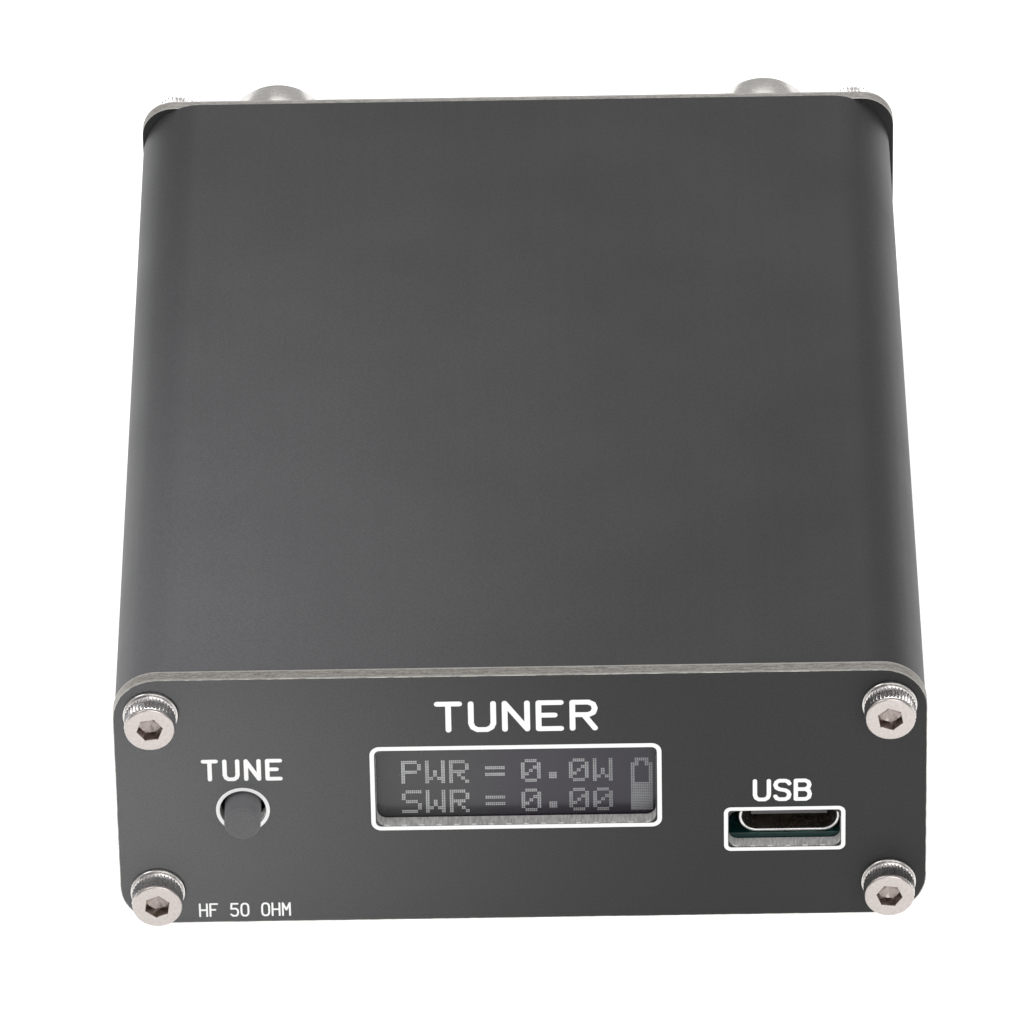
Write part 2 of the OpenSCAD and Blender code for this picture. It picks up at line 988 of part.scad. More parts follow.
module control_jack_housing() {
    color([0.08, 0.08, 0.08])
        difference() {
            block(board_x, control_front + control_l/2, on_board, control_w, control_l, control_h);
            rod_y(board_x, control_front + control_front_wall, control_z, control_inner_r, control_l);
            rod_y(board_x, control_back - bushing_in - ease, control_z, control_bushing_r + ease,
                bushing_in + cut);
            for (side = [-1, 1])
                block(board_x + side*(control_w - contact_slot_w)/2,
                    control_front + contact_slot_front + contact_slot_l/2,
                    control_z - contact_slot_h/2, contact_slot_w, contact_slot_l, contact_slot_h);
        }
}

module control_jack_bushing() {
    front = control_back - bushing_in;
    length = rear_face + control_out - front;
    color([0.75, 0.75, 0.76])
        difference() {
            rod_y(board_x, front, control_z, control_bushing_r, length);
            rod_y(board_x, front - cut, control_z, control_bore_r, length + 2*cut);
        }
}

// Leaf springs in the housing's side slots
module control_jack_contacts() {
    color([0.82, 0.72, 0.45])
        for (side = [-1, 1])
            block(board_x + side*(control_w - contact_slot_w)/2,
                control_front + contact_slot_front + contact_slot_l/2,
                control_z - leaf_h/2, leaf_t, contact_slot_l - 2*leaf_gap, leaf_h);
}

// ---- Tuning network ----

function step_y(i) = front_y + first_step + i*step_pitch;
function core_of(i) = i < large_coils ? large_core : small_core;
function turns_of(i) = i < large_coils ? large_turns : small_turns;
function core_z(core, wire) = on_board + core[0] + wire + wire_gap;

// Toroid that stands on its rim, its axis along Y
module toroid(x, y, z, core) {
    turned_y(x, y - core[2]/2, z)
        translate([core[1], 0])
            square([core[0] - core[1], core[2]]);
}

// Separate turns of wire around a toroid, leaving a gap at the bottom
module toroid_turns(x, y, z, core, wire, turns) {
    section_w = core[0] - core[1] + 2*wire_gap;
    section_h = core[2] + 2*wire_gap;
    spread = 300;
    corner_r = 0.9*wire;
    for (i = [0 : turns - 1])
        translate([x, y, z])
            rotate([0, (i - (turns - 1)/2)*spread/(turns - 1), 0])
                translate([wire/2, 0, (core[0] + core[1])/2])
                    rotate([90, 0, -90])
                        linear_extrude(wire)
                            difference() {
                                rounded_rect(section_h + 2*wire, section_w + 2*wire, corner_r);
                                square([section_h, section_w], center = true);
                            }
}

module inductor_cores() {
    color([0.85, 0.7, 0.15])
        for (i = [0 : steps - 1])
            toroid(coil_x, step_y(i), core_z(core_of(i), wire_t), core_of(i));
}

module inductor_windings() {
    color([0.75, 0.35, 0.15])
        for (i = [0 : steps - 1]) {
            core = core_of(i);
            toroid_turns(coil_x, step_y(i), core_z(core, wire_t), core, wire_t, turns_of(i));
        }
}

// Sealed relay, a closed box that stands on the board
module relay(x, y) {
    block(x, y, on_board, relay_w, relay_d, relay_h);
}

module inductor_relays() {
    color([0.9, 0.9, 0.88])
        for (i = [0 : steps - 1])
            relay(inductor_relay_x, step_y(i));
}

module capacitor_relays() {
    color([0.9, 0.9, 0.88])
        for (i = [0 : steps - 1])
            relay(capacitor_relay_x, step_y(i));
}

module network_relay() {
    color([0.9, 0.9, 0.88])
        relay(network_relay_x, network_relay_y);
}

module tuning_capacitors() {
    color([0.6, 0.45, 0.3])
        for (i = [0 : steps - 1])
            block(capacitor_x, step_y(i), on_board, capacitor_w, capacitor_d, capacitor_h);
}

// The front transformer stands on the board and the rear one has the input lead through it
sensor_z = core_z(coupler_core, coupler_wire_t);

module coupler_cores() {
    color([0.25, 0.25, 0.25]) {
        toroid(input_x, coupler_y, jack_z, coupler_core);
        toroid(coupler_sensor_x, coupler_y - coupler_spacing, sensor_z, coupler_core);
    }
}

module coupler_windings() {
    color([0.75, 0.4, 0.2]) {
        toroid_turns(input_x, coupler_y, jack_z, coupler_core, coupler_wire_t, coupler_turns);
        toroid_turns(coupler_sensor_x, coupler_y - coupler_spacing, sensor_z,
            coupler_core, coupler_wire_t, coupler_turns);
    }
}

// ---- Chips ----

// One row of flat leads along X, centred at y
module lead_row(y, count, pitch, lead_w) {
    lead_t = 0.15;
    for (i = [0 : count - 1])
        block((i - (count - 1)/2)*pitch, y, on_board, lead_w, lead_reach, lead_t);
}

module controller_chip() {
    color([0.1, 0.1, 0.1])
        block(controller_x, controller_y, on_board + lead_lift, controller_w, controller_w, controller_h);
}

module controller_leads() {
    reach_mid = controller_w/2 + lead_reach/2 + ease;
    color([0.8, 0.8, 0.8])
        for (turn = [0 : 90 : 270])
            translate([controller_x, controller_y, 0])
                rotate(turn)
                    lead_row(reach_mid, controller_side_leads, controller_pitch, controller_lead_w);
}

function driver_y(i) = front_y + first_driver + i*driver_spacing;

module relay_driver_chips() {
    color([0.1, 0.1, 0.1])
        for (i = [0 : drivers - 1])
            block(driver_x, driver_y(i), on_board + lead_lift, driver_w, driver_l, driver_h);
}

module relay_driver_leads() {
    reach_mid = driver_w/2 + lead_reach/2 + ease;
    color([0.8, 0.8, 0.8])
        for (i = [0 : drivers - 1], turn = [90, 270])
            translate([driver_x, driver_y(i), 0])
                rotate(turn)
                    lead_row(reach_mid, driver_side_leads, driver_pitch, driver_lead_w);
}

module charger_chip() {
    color([0.1, 0.1, 0.1])
        block(charger_x, power_y, on_board, driver_w, charger_l, driver_h);
}

module power_inductor() {
    color([0.3, 0.3, 0.3])
        translate([power_inductor_x, power_y, on_board])
            linear_extrude(power_inductor_h)
                rounded_rect(power_inductor_w, power_inductor_w, power_inductor_r);
}

// ---- Battery ----

module battery_cell() {
    color([0.75, 0.76, 0.78])
        translate([socket_x, battery_y, cell_z])
            linear_extrude(battery_t)
                rounded_rect(battery_w, battery_l, cell_r);
}

module battery_protection_board() {
    color([0.8, 0.65, 0.1])
        block(socket_x, battery_front - ease - protection_l/2, cell_z,
            battery_w - 2*protection_inset, protection_l, protection_t);
}

module battery_tape() {
    color([0.95, 0.95, 0.95])
        block(socket_x, battery_y, case_wall + ease,
            battery_w - 2*tape_inset, battery_l - 2*tape_inset, tape_t);
}

// Side-entry socket under the board, its mouth to the back
module battery_socket() {
    socket_z = board_under - ease - socket_h;
    color([0.93, 0.92, 0.88])
        difference() {
            block(socket_x, socket_front + socket_l/2, socket_z, socket_w, socket_l, socket_h);
            block(socket_x, socket_front + socket_l - plug_in/2 + cut/2, socket_z + (socket_h - plug_h)/2,
                plug_w + 2*ease, plug_in + cut, plug_h);
        }
}

module battery_plug() {
    plug_z = board_under - ease - socket_h/2 - plug_h/2;
    length = plug_in - 2*ease + plug_out;
    color([0.93, 0.92, 0.88])
        block(socket_x, plug_back - length/2, plug_z + ease, plug_w, length, plug_h - 2*ease);
}

// Straight wire from the plug to the protection board
module battery_wire(side) {
    wire_z = cell_z + battery_t/2;
    wire_l = protection_front - plug_back - 2*ease;
    rod_y(socket_x + side*wire_spread, plug_back + ease, wire_z, wire_r, wire_l);
}

module battery_wire_positive() {
    color([0.8, 0.05, 0.05])
        battery_wire(1);
}

module battery_wire_negative() {
    color([0.03, 0.03, 0.03])
        battery_wire(-1);
}

case_tube();
front_panel();
rear_panel();
front_screws();
rear_screws();
front_spring_washers();
rear_spring_washers();
tune_button();
tune_switch_housing();
tune_switch_cover();
tune_switch_dome();
tune_switch_pins();
display_glass();
display_board();
display_header();
display_pins();
usb_shell();
usb_tongue();
usb_contacts();
main_board();
input_jack_body();
input_jack_insulator();
input_jack_contact();
input_lead();
output_jack_body();
output_jack_insulator();
output_jack_contact();
output_lead();
jack_nuts();
jack_lock_washers();
jack_ground_tags();
control_jack_housing();
control_jack_bushing();
control_jack_contacts();
inductor_cores();
inductor_windings();
inductor_relays();
tuning_capacitors();
capacitor_relays();
network_relay();
coupler_cores();
coupler_windings();
controller_chip();
controller_leads();
relay_driver_chips();
relay_driver_leads();
charger_chip();
power_inductor();
battery_cell();
battery_protection_board();
battery_tape();
battery_socket();
battery_plug();
battery_wire_positive();
battery_wire_negative();
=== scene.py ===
"""Looks of a pocket antenna tuner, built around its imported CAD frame.

Row frame: X to the right seen from the front, Y to the back, Z up, in metres.
"""
import json
import math

import bmesh
import bpy
from mathutils import Matrix, Vector


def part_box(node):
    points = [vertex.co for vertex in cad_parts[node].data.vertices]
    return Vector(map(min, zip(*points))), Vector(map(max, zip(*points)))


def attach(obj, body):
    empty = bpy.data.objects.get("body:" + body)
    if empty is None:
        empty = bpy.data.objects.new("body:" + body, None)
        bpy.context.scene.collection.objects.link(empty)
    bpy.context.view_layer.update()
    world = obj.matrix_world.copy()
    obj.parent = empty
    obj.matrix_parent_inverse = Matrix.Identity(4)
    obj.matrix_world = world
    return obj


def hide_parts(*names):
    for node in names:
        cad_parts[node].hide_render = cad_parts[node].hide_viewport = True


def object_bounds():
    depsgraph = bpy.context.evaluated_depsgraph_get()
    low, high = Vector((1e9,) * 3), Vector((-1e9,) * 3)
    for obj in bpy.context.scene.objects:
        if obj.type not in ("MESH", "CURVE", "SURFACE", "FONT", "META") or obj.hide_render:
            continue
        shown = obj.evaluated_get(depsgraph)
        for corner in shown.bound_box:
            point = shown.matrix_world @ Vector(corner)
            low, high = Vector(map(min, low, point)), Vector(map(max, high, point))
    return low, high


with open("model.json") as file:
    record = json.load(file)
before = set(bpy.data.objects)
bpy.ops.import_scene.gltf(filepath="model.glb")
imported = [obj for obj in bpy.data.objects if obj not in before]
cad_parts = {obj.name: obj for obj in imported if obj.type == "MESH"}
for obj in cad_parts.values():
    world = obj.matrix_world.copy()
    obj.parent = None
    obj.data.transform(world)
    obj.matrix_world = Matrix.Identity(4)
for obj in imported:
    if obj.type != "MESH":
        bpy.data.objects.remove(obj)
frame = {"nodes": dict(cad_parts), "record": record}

cad_low, cad_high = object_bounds()

MM = 0.001
CASE = "tuner_body"
nodes = frame["nodes"]

# The two panels are equally thick, and lie as far before the origin as behind it:
# distance of their middle planes, and half their thickness, in millimetres
rear_inside, rear_outside = (corner.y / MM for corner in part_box("rear_panel"))
PANEL_MIDDLE = (rear_inside + rear_outside) / 2
PANEL_HALF = (rear_outside - rear_inside) / 2

# ---------------------------------------------------------------- camera

# Place in millimetres, angles in degrees, focal length in millimetres
CAMERA_AT = (4.65, -768.53, 520.41)
CAMERA_PITCH = 33.553
CAMERA_YAW = -0.3995
CAMERA_ROLL = -1.0775
CAMERA_LENS = 353.1
SENSOR_WIDTH = 36


def turned_axes(pitch, yaw, roll):
    """Right, up and forward axes of a camera that looks along +Y, turned by degrees."""
    p, y, r = (math.radians(a) for a in (pitch, yaw, roll))
    forward = Vector((math.sin(y) * math.cos(p), math.cos(y) * math.cos(p), -math.sin(p)))
    right = Vector((math.cos(y), -math.sin(y), 0))
    up = right.cross(forward)
    return math.cos(r) * right + math.sin(r) * up, math.cos(r) * up - math.sin(r) * right, forward


def make_camera():
    right, up, forward = turned_axes(CAMERA_PITCH, CAMERA_YAW, CAMERA_ROLL)
    data = bpy.data.cameras.new("camera")
    data.lens = CAMERA_LENS
    data.sensor_width = SENSOR_WIDTH
    data.clip_start = 0.01
    data.clip_end = 20
    camera = bpy.data.objects.new("camera", data)
    turn = Matrix((right, up, -forward)).transposed()
    camera.matrix_world = Matrix.Translation(Vector(CAMERA_AT) * MM) @ turn.to_4x4()
    bpy.context.scene.collection.objects.link(camera)
    bpy.context.scene.camera = camera


make_camera()

# ---------------------------------------------------------------- materials


class Look:
    """A node material: object coordinates in, one principled shader out."""

    def __init__(self, name, color, rough, metal=0.0, **sockets):
        self.material = bpy.data.materials.new(name)
        self.material.use_nodes = True
        self.tree = self.material.node_tree
        self.tree.nodes.clear()
        self.shader = self.add("ShaderNodeBsdfPrincipled")
        out = self.add("ShaderNodeOutputMaterial")
        self.tree.links.new(self.shader.outputs[0], out.inputs["Surface"])
        self.set(self.shader, "Base Color", (*color, 1))
        self.set(self.shader, "Roughness", rough)
        self.set(self.shader, "Metallic", metal)
        for socket, value in sockets.items():
            self.set(self.shader, socket.replace("_", " "), value)
        self.place = self.add("ShaderNodeTexCoord").outputs["Object"]
        self.normal = None

    def add(self, kind, **settings):
        node = self.tree.nodes.new(kind)
        for key, value in settings.items():
            setattr(node, key, value)
        return node

    def set(self, node, socket, value):
        """Links a node's output, or sets a plain value."""
        if isinstance(value, bpy.types.NodeSocket):
            self.tree.links.new(value, node.inputs[socket])
        else:
            node.inputs[socket].default_value = value

    def stretched(self, x, y, z):
        node = self.add("ShaderNodeMapping")
        self.set(node, "Vector", self.place)
        node.inputs["Scale"].default_value = (x, y, z)
        return node.outputs[0]

    def noise(self, size_mm, detail=3.0, rough=0.55, vector=None):
        node = self.add("ShaderNodeTexNoise")
        self.set(node, "Vector", vector or self.place)
        self.set(node, "Scale", 1 / (size_mm * MM))
        self.set(node, "Detail", detail)
        self.set(node, "Roughness", rough)
        return node.outputs["Fac"]

    def cells(self, size_mm, feature="F1"):
        node = self.add("ShaderNodeTexVoronoi", feature=feature)
        self.set(node, "Vector", self.place)
        self.set(node, "Scale", 1 / (size_mm * MM))
        return node.outputs["Distance"]

    def math(self, operation, a, b=0.0):
        node = self.add("ShaderNodeMath", operation=operation)
        self.set(node, 0, a)
        self.set(node, 1, b)
        return node.outputs[0]

    def ramp(self, value, low, high, to_low=0.0, to_high=1.0, smooth=False):
        node = self.add("ShaderNodeMapRange")
        node.interpolation_type = "SMOOTHSTEP" if smooth else "LINEAR"
        self.set(node, "Value", value)
        numbers = {"From Min": low, "From Max": high, "To Min": to_low, "To Max": to_high}
        for socket, number in numbers.items():
            node.inputs[socket].default_value = number
        return node.outputs[0]

    def mix(self, factor, a, b):
        """Colour b over colour a."""
        node = self.add("ShaderNodeMix", data_type="RGBA")
        for index, value in ((0, factor), (6, a), (7, b)):
            if isinstance(value, bpy.types.NodeSocket):
                self.tree.links.new(value, node.inputs[index])
            else:
                node.inputs[index].default_value = value if index == 0 else (*value, 1)
        return node.outputs[2]

    def axis(self, name, vector=None):
        node = self.add("ShaderNodeSeparateXYZ")
        self.set(node, 0, vector or self.place)
        return node.outputs[name]

    def facing(self, name):
        """One component of the surface's own normal."""
        return self.axis(name, self.add("ShaderNodeNewGeometry").outputs["Normal"])

    def color(self, value):
        self.set(self.shader, "Base Color", value)

    def rough(self, value):
        self.set(self.shader, "Roughness", value)

    def bump(self, height, depth_mm, strength=1.0):
        node = self.add("ShaderNodeBump")
        self.set(node, "Height", height)
        self.set(node, "Distance", depth_mm * MM)
        self.set(node, "Strength", strength)
        if self.normal:
            self.set(node, "Normal", self.normal)
        self.normal = node.outputs[0]
        self.set(self.shader, "Normal", self.normal)

    def specks(self, size_mm, share, radius):
        """1 in sparse round spots: radius is the share of a cell's size that a spot fills."""
        spot = self.add("ShaderNodeTexVoronoi")
        self.set(spot, "Vector", self.place)
        self.set(spot, "Scale", 1 / (size_mm * MM))
        chosen = self.math("GREATER_THAN", self.axis("X", spot.outputs["Color"]), 1 - share)
        near = self.math("LESS_THAN", spot.outputs["Distance"], radius)
        return self.math("MULTIPLY", chosen, near)


def anodised():
    """Black anodised extrusion: blasted grain, faint drawing streaks along Y, a little dust."""
    look = Look("black_anodised", (0.045, 0.045, 0.047), 0.46, Specular_IOR_Level=0.3)
    grain = look.noise(0.22, 2.0, 0.7)
    cloud = look.noise(14, 2.0)
    drawn = look.noise(0.7, 2.0, 0.5, look.stretched(1, 0.012, 1))
    tone = look.mix(look.ramp(grain, 0.3, 0.7), (0.029, 0.029, 0.0305), (0.045, 0.045, 0.047))
    dust = look.specks(7, 0.10, 0.012)
    look.color(look.mix(dust, tone, (0.45, 0.45, 0.44)))
    streaks = look.ramp(drawn, 0.3, 0.7, -0.01, 0.01)
    look.rough(look.math("ADD", look.ramp(cloud, 0.3, 0.7, 0.44, 0.50), streaks))
    look.bump(grain, 0.012, 0.5)
    return look


# Edges of the panels, partly bare epoxy and partly painted highlight, in millimetres
RIM_INNER = 0.2
RIM_OUTER = 0.14
CUTTER_STEP = 1.53
OPENINGS_Z = 13.1
OPENINGS_UP = 6.2
OPENINGS_ACROSS = 31


def solder_mask():
    """Black mask on both faces of a glass-epoxy board, and its bare cut edges."""
    look = Look("panel_black", (0.02, 0.02, 0.0205), 0.42, Specular_IOR_Level=0.15)
    x, y, z = (look.axis(name) for name in "XYZ")
    weave = look.noise(0.55, 2.0, 0.5)
    fine = look.noise(0.12, 2.0, 0.7)
    cut = look.ramp(look.math("ABSOLUTE", look.facing("Y")), 0.5, 0.8, 1, 0)
    mask = look.mix(look.ramp(fine, 0.35, 0.65), (0.021, 0.021, 0.0214), (0.034, 0.034, 0.0345))
    # the glass cloth lies in layers parallel to the faces, so a cut edge shows them as streaks
    layers = look.noise(1.1, 3.0, 0.6, look.stretched(1, 9, 1))
    mottle = look.noise(0.3, 3.0, 0.7)
    fibre = look.math("ADD", look.math("MULTIPLY", layers, 0.6), look.math("MULTIPLY", mottle, 0.4))
    epoxy = look.mix(look.ramp(fibre, 0.36, 0.64), (0.16, 0.15, 0.137), (0.40, 0.378, 0.35))
    # paler rims at both faces: partly bare epoxy where the router broke out, partly a painted highlight
    # standing in for light on a rounded edge
    outward = look.math("SUBTRACT", look.math("ABSOLUTE", y), PANEL_MIDDLE * MM)
    rim_low = (PANEL_HALF - RIM_INNER) * MM
    rim_high = (PANEL_HALF - RIM_OUTER) * MM
    rim = look.ramp(look.math("ABSOLUTE", outward), rim_low, rim_high)
    epoxy = look.mix(look.math("MULTIPLY", rim, 0.45), epoxy, (0.58, 0.56, 0.53))
    # the openings' walls are milled paler, with the cutter's step marks along their outer edges
    step = look.ramp(look.math("SINE", look.math("MULTIPLY", x, math.tau / (CUTTER_STEP * MM))), 0.55, 0.7)
    between = look.math("LESS_THAN", look.math("ABSOLUTE", x), OPENINGS_ACROSS * MM)
    height = look.math("ABSOLUTE", look.math("SUBTRACT", z, OPENINGS_Z * MM))
    inside = look.math("MULTIPLY", look.math("LESS_THAN", height, OPENINGS_UP * MM), between)
    outer_edge = look.ramp(outward, rim_low, rim_high)
    marks = look.math("MULTIPLY", look.math("MULTIPLY", step, outer_edge), inside)
    strokes = look.noise(0.16, 2.0, 0.5, look.stretched(1, 0.15, 1))
    milled = look.mix(look.ramp(strokes, 0.36, 0.64), (0.37, 0.365, 0.36), (0.58, 0.57, 0.56))
    epoxy = look.mix(inside, epoxy, milled)
    epoxy = look.mix(marks, epoxy, (0.9, 0.9, 0.9))
    dust = look.specks(6, 0.12, 0.010)
    face = look.mix(dust, mask, (0.5, 0.5, 0.5))
    look.color(look.mix(cut, face, epoxy))
    look.rough(look.ramp(weave, 0.3, 0.7, 0.40, 0.46))
    relief = look.math("ADD", look.math("MULTIPLY", fine, 0.4), look.math("MULTIPLY", fibre, cut))
    look.bump(relief, 0.01, 0.5)
    return look


def metal(name, color, rough, spread=0.08, size=0.3, shade=0.75, depth=0.004, **sockets):
    """Bare or plated metal with fine scratches and slightly uneven roughness."""
    look = Look(name, color, rough, 1.0, **sockets)
    fine = look.noise(size, 4.0, 0.65)
    patch = look.noise(size * 12, 2.0)
    dark = tuple(c * shade for c in color)
    look.color(look.mix(look.ramp(fine, 0.3, 0.7), dark, color))
    look.rough(look.math("ADD", look.ramp(patch, 0.3, 0.7, rough - spread, rough + spread),
                         look.ramp(fine, 0.3, 0.7, -0.04, 0.04)))
    look.bump(fine, depth, 0.6)
    return look


def moulded(name, color, rough, size=0.25, shade=0.7, depth=0.008, **sockets):
    """Moulded plastic or rubber with a fine spark-eroded texture."""
    look = Look(name, color, rough, 0.0, **sockets)
    fine = look.noise(size, 3.0, 0.6)
    patch = look.noise(size * 20, 2.0)
    dark = tuple(c * shade for c in color)
    look.color(look.mix(look.ramp(fine, 0.25, 0.75), dark, color))
    look.rough(look.ramp(patch, 0.3, 0.7, rough - 0.05, rough + 0.05))
    look.bump(fine, depth, 0.6)
    return look


def pressed_button():
    """Matte plunger: its end is as dark as the panel, and its sides carry painted light, paler than the
    end.
    """
    look = moulded("button_black", (0.108, 0.108, 0.11), 0.5, size=0.15, Specular_IOR_Level=0.25)
    fine = look.ramp(look.noise(0.15, 3.0, 0.6), 0.25, 0.75)
    end = look.mix(fine, (0.085, 0.085, 0.087), (0.115, 0.115, 0.117))
    # painted light: the plunger's sides are painted paler than its end, to lift the shade they lie in
    side = look.mix(fine, (0.17, 0.169, 0.176), (0.21, 0.209, 0.218))
    look.color(look.mix(look.ramp(look.math("ABSOLUTE", look.facing("Y")), 0.5, 0.8), side, end))
    return look


def board(name, color, edge):
    """Solder mask over the copper tracks of a circuit board, with dark edges."""
    look = Look(name, color, 0.3)
    lit = tuple(min(1.0, c * 1.9 + 0.01) for c in color)
    tracks = look.ramp(look.cells(2.2, "DISTANCE_TO_EDGE"), 0.05, 0.07)
    up = look.ramp(look.math("ABSOLUTE", look.facing("Z")), 0.5, 0.8)
    face = look.mix(tracks, lit, color)
    look.color(look.mix(up, edge, face))
    look.rough(look.ramp(look.noise(3), 0.3, 0.7, 0.26, 0.36))
    look.bump(tracks, 0.02, 0.5)
    return look


def display_glass():
    """Dark glass with painted light: paler and nearly neutral at the left end, violet and darker towards
    the right.
    """
    look = Look("display_glass", (0.03, 0.03, 0.032), 0.25, 0.0, IOR=1.5)
    # painted light: the glass is painted paler and neutral at the left end, fading to a darker violet
    # towards the right
    across = look.ramp(look.axis("X"), -0.008, 0.002, smooth=True)
    cloud = look.ramp(look.noise(6, 2.0), 0.3, 0.7)
    violet = look.mix(cloud, (0.031, 0.0265, 0.036), (0.025, 0.021, 0.029))
    far = look.ramp(look.axis("X"), 0.0, 0.011, smooth=True)
    look.color(look.mix(far, look.mix(across, (0.041, 0.041, 0.042), violet), (0.016, 0.0135, 0.021)))
    look.rough(look.ramp(look.noise(2), 0.3, 0.7, 0.22, 0.29))
    look.bump(look.noise(1.5, 2.0), 0.001, 0.3)
    return look


def battery_foil():
    """Crumpled silver pouch."""
    look = metal("battery_foil", (0.72, 0.73, 0.76), 0.38, size=0.8, shade=0.88)
    look.bump(look.noise(9, 2.0), 0.08, 0.6)
    return look


def wound_wire():
    """Copper wire under clear enamel."""
    return metal("copper_wire", (0.62, 0.24, 0.09), 0.3, size=0.4, Coat_Weight=0.6, Coat_Roughness=0.15)


def pressed_core(name, color, rough):
    """Painted powder core, or another part with a pebbled coat."""
    look = moulded(name, color, rough, size=0.18, shade=0.8, depth=0.015)
    look.bump(look.cells(0.5), 0.012, 0.4)
    return look


LOOKS = {
    "black_anodised": anodised,
    "panel_black": solder_mask,
    "screw_steel": lambda: metal("screw_steel", (0.62, 0.565, 0.53), 0.27, size=0.25, shade=0.9),
    "spring_steel": lambda: metal("spring_steel", (0.70, 0.68, 0.66), 0.2, size=0.2, shade=0.85),
    "button_black": pressed_button,
    "switch_black": lambda: moulded("switch_black", (0.03, 0.03, 0.03), 0.5),
    "switch_metal": lambda: metal("switch_metal", (0.7, 0.7, 0.69), 0.3),
    "tinned_lead": lambda: metal("tinned_lead", (0.74, 0.74, 0.73), 0.32),
    "display_glass": display_glass,
    "board_blue": lambda: board("board_blue", (0.012, 0.045, 0.16), (0.25, 0.22, 0.16)),
    "gold_pin": lambda: metal("gold_pin", (0.86, 0.62, 0.27), 0.24),
    "usb_steel": lambda: metal("usb_steel", (0.74, 0.73, 0.72), 0.25),
    "usb_black": lambda: moulded("usb_black", (0.10, 0.096, 0.10), 0.38),
    "board_green": lambda: board("board_green", (0.004, 0.030, 0.027), (0.008, 0.034, 0.031)),
    "jack_nickel": lambda: metal("jack_nickel", (0.78, 0.755, 0.72), 0.2, size=0.35, shade=0.9),
    "insulator_white": lambda: moulded("insulator_white", (0.82, 0.82, 0.8), 0.42, shade=0.92),
    "copper_wire": wound_wire,
    "core_yellow": lambda: pressed_core("core_yellow", (0.72, 0.5, 0.05), 0.5),
    "core_grey": lambda: pressed_core("core_grey", (0.06, 0.06, 0.062), 0.62),
    "relay_white": lambda: moulded("relay_white", (0.78, 0.78, 0.75), 0.45, shade=0.93),
    "capacitor_tan": lambda: pressed_core("capacitor_tan", (0.4, 0.26, 0.15), 0.5),
    "chip_black": lambda: moulded("chip_black", (0.03, 0.03, 0.032), 0.55, size=0.1),
    "battery_foil": battery_foil,
    "battery_yellow": lambda: moulded("battery_yellow", (0.78, 0.52, 0.05), 0.3, size=0.6),
    "tape_white": lambda: moulded("tape_white", (0.82, 0.82, 0.8), 0.7, size=0.4, depth=0.03),
    "connector_cream": lambda: moulded("connector_cream", (0.8, 0.76, 0.66), 0.4, shade=0.92),
    "wire_red": lambda: moulded("wire_red", (0.55, 0.02, 0.02), 0.4),
    "wire_black": lambda: moulded("wire_black", (0.02, 0.02, 0.02), 0.4),
}
materials = {slot: make().material for slot, make in LOOKS.items()}


def dress_cad_nodes():
    for entry in frame["record"]["subparts"]:
        node = nodes[entry["node"]]
        for index in range(len(node.material_slots)):
            node.material_slots[index].material = materials[entry["material_slot"]]


dress_cad_nodes()


def soften(name, width_mm, segments=2, angle=40):
    """Rounds a CAD node's sharp edges with modifiers, leaving its mesh as it is."""
    node = nodes[name]
    weld = node.modifiers.new("weld", "WELD")
    weld.merge_threshold = 1e-6
    bevel = node.modifiers.new("bevel", "BEVEL")
    bevel.width = width_mm * MM
    bevel.segments = segments
    bevel.limit_method = "ANGLE"
    bevel.angle_limit = math.radians(angle)
    bevel.use_clamp_overlap = True
    normals = node.modifiers.new("normals", "WEIGHTED_NORMAL")
    normals.keep_sharp = False
    normals.weight = 80


# ---------------------------------------------------------------- mesh helpers


def piece(name, bm, slot, body=CASE, smooth=None, at=None, look=None):
    """Makes a piece of a mesh, gives it its material and lets it ride on a body."""
    bmesh.ops.recalc_face_normals(bm, faces=bm.faces)
    mesh = bpy.data.meshes.new(name)
    bm.to_mesh(mesh)
    bm.free()
    mesh.materials.append(look or materials[slot])
    obj = bpy.data.objects.new(name, mesh)
    bpy.context.scene.collection.objects.link(obj)
    if at is not None:
        obj.matrix_world = at
    if smooth is not None:
        mesh.shade_smooth()
        mesh.set_sharp_from_angle(angle=math.radians(smooth))
    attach(obj, body)
    return obj


def bridge(bm, ring_a, ring_b):
    count = len(ring_a)
    for i in range(count):
        j = (i + 1) % count
        bm.faces.new((ring_a[i], ring_a[j], ring_b[j], ring_b[i]))


def plate(bm, outline, y_front, y_back):
    """A thin plate with an outline drawn in X and Z, given in millimetres."""
    front = [bm.verts.new((x * MM, y_front * MM, z * MM)) for x, z in outline]
    back = [bm.verts.new((x * MM, y_back * MM, z * MM)) for x, z in outline]
    bm.faces.new(front)
    bm.faces.new(reversed(back))
    bridge(bm, front, back)


def frame_plate(bm, outer, inner, y_front, y_back):
    """A thin ring between two outlines with as many points as each other."""
    rings = [[bm.verts.new((x * MM, y * MM, z * MM)) for x, z in outline]
             for outline, y in ((outer, y_front), (inner, y_front), (inner, y_back), (outer, y_back))]
    for i in range(4):
        bridge(bm, rings[i], rings[(i + 1) % 4])


def capsule(x0, z0, x1, z1, half, steps=8):
    """Outline of one stroke with round ends."""
    angle = math.atan2(z1 - z0, x1 - x0)
    points = []
    for (x, z), start in (((x1, z1), -90), ((x0, z0), 90)):
        for i in range(steps + 1):
            a = angle + math.radians(start + 180 * i / steps)
            points.append((x + half * math.cos(a), z + half * math.sin(a)))
    return points


def rounded(x0, x1, z0, z1, radius, steps=8):
    """Outline of a rectangle with round corners."""
    points = []
    for x, z, start in ((x1 - radius, z1 - radius, 0), (x0 + radius, z1 - radius, 90),
                        (x0 + radius, z0 + radius, 180), (x1 - radius, z0 + radius, 270)):
        for i in range(steps + 1):
            a = math.radians(start + 90 * i / steps)
            points.append((x + radius * math.cos(a), z + radius * math.sin(a)))
    return points


def circle(x, z, radius, steps=96):
    return [(x + radius * math.cos(math.tau * i / steps), z + radius * math.sin(math.tau * i / steps))
            for i in range(steps)]


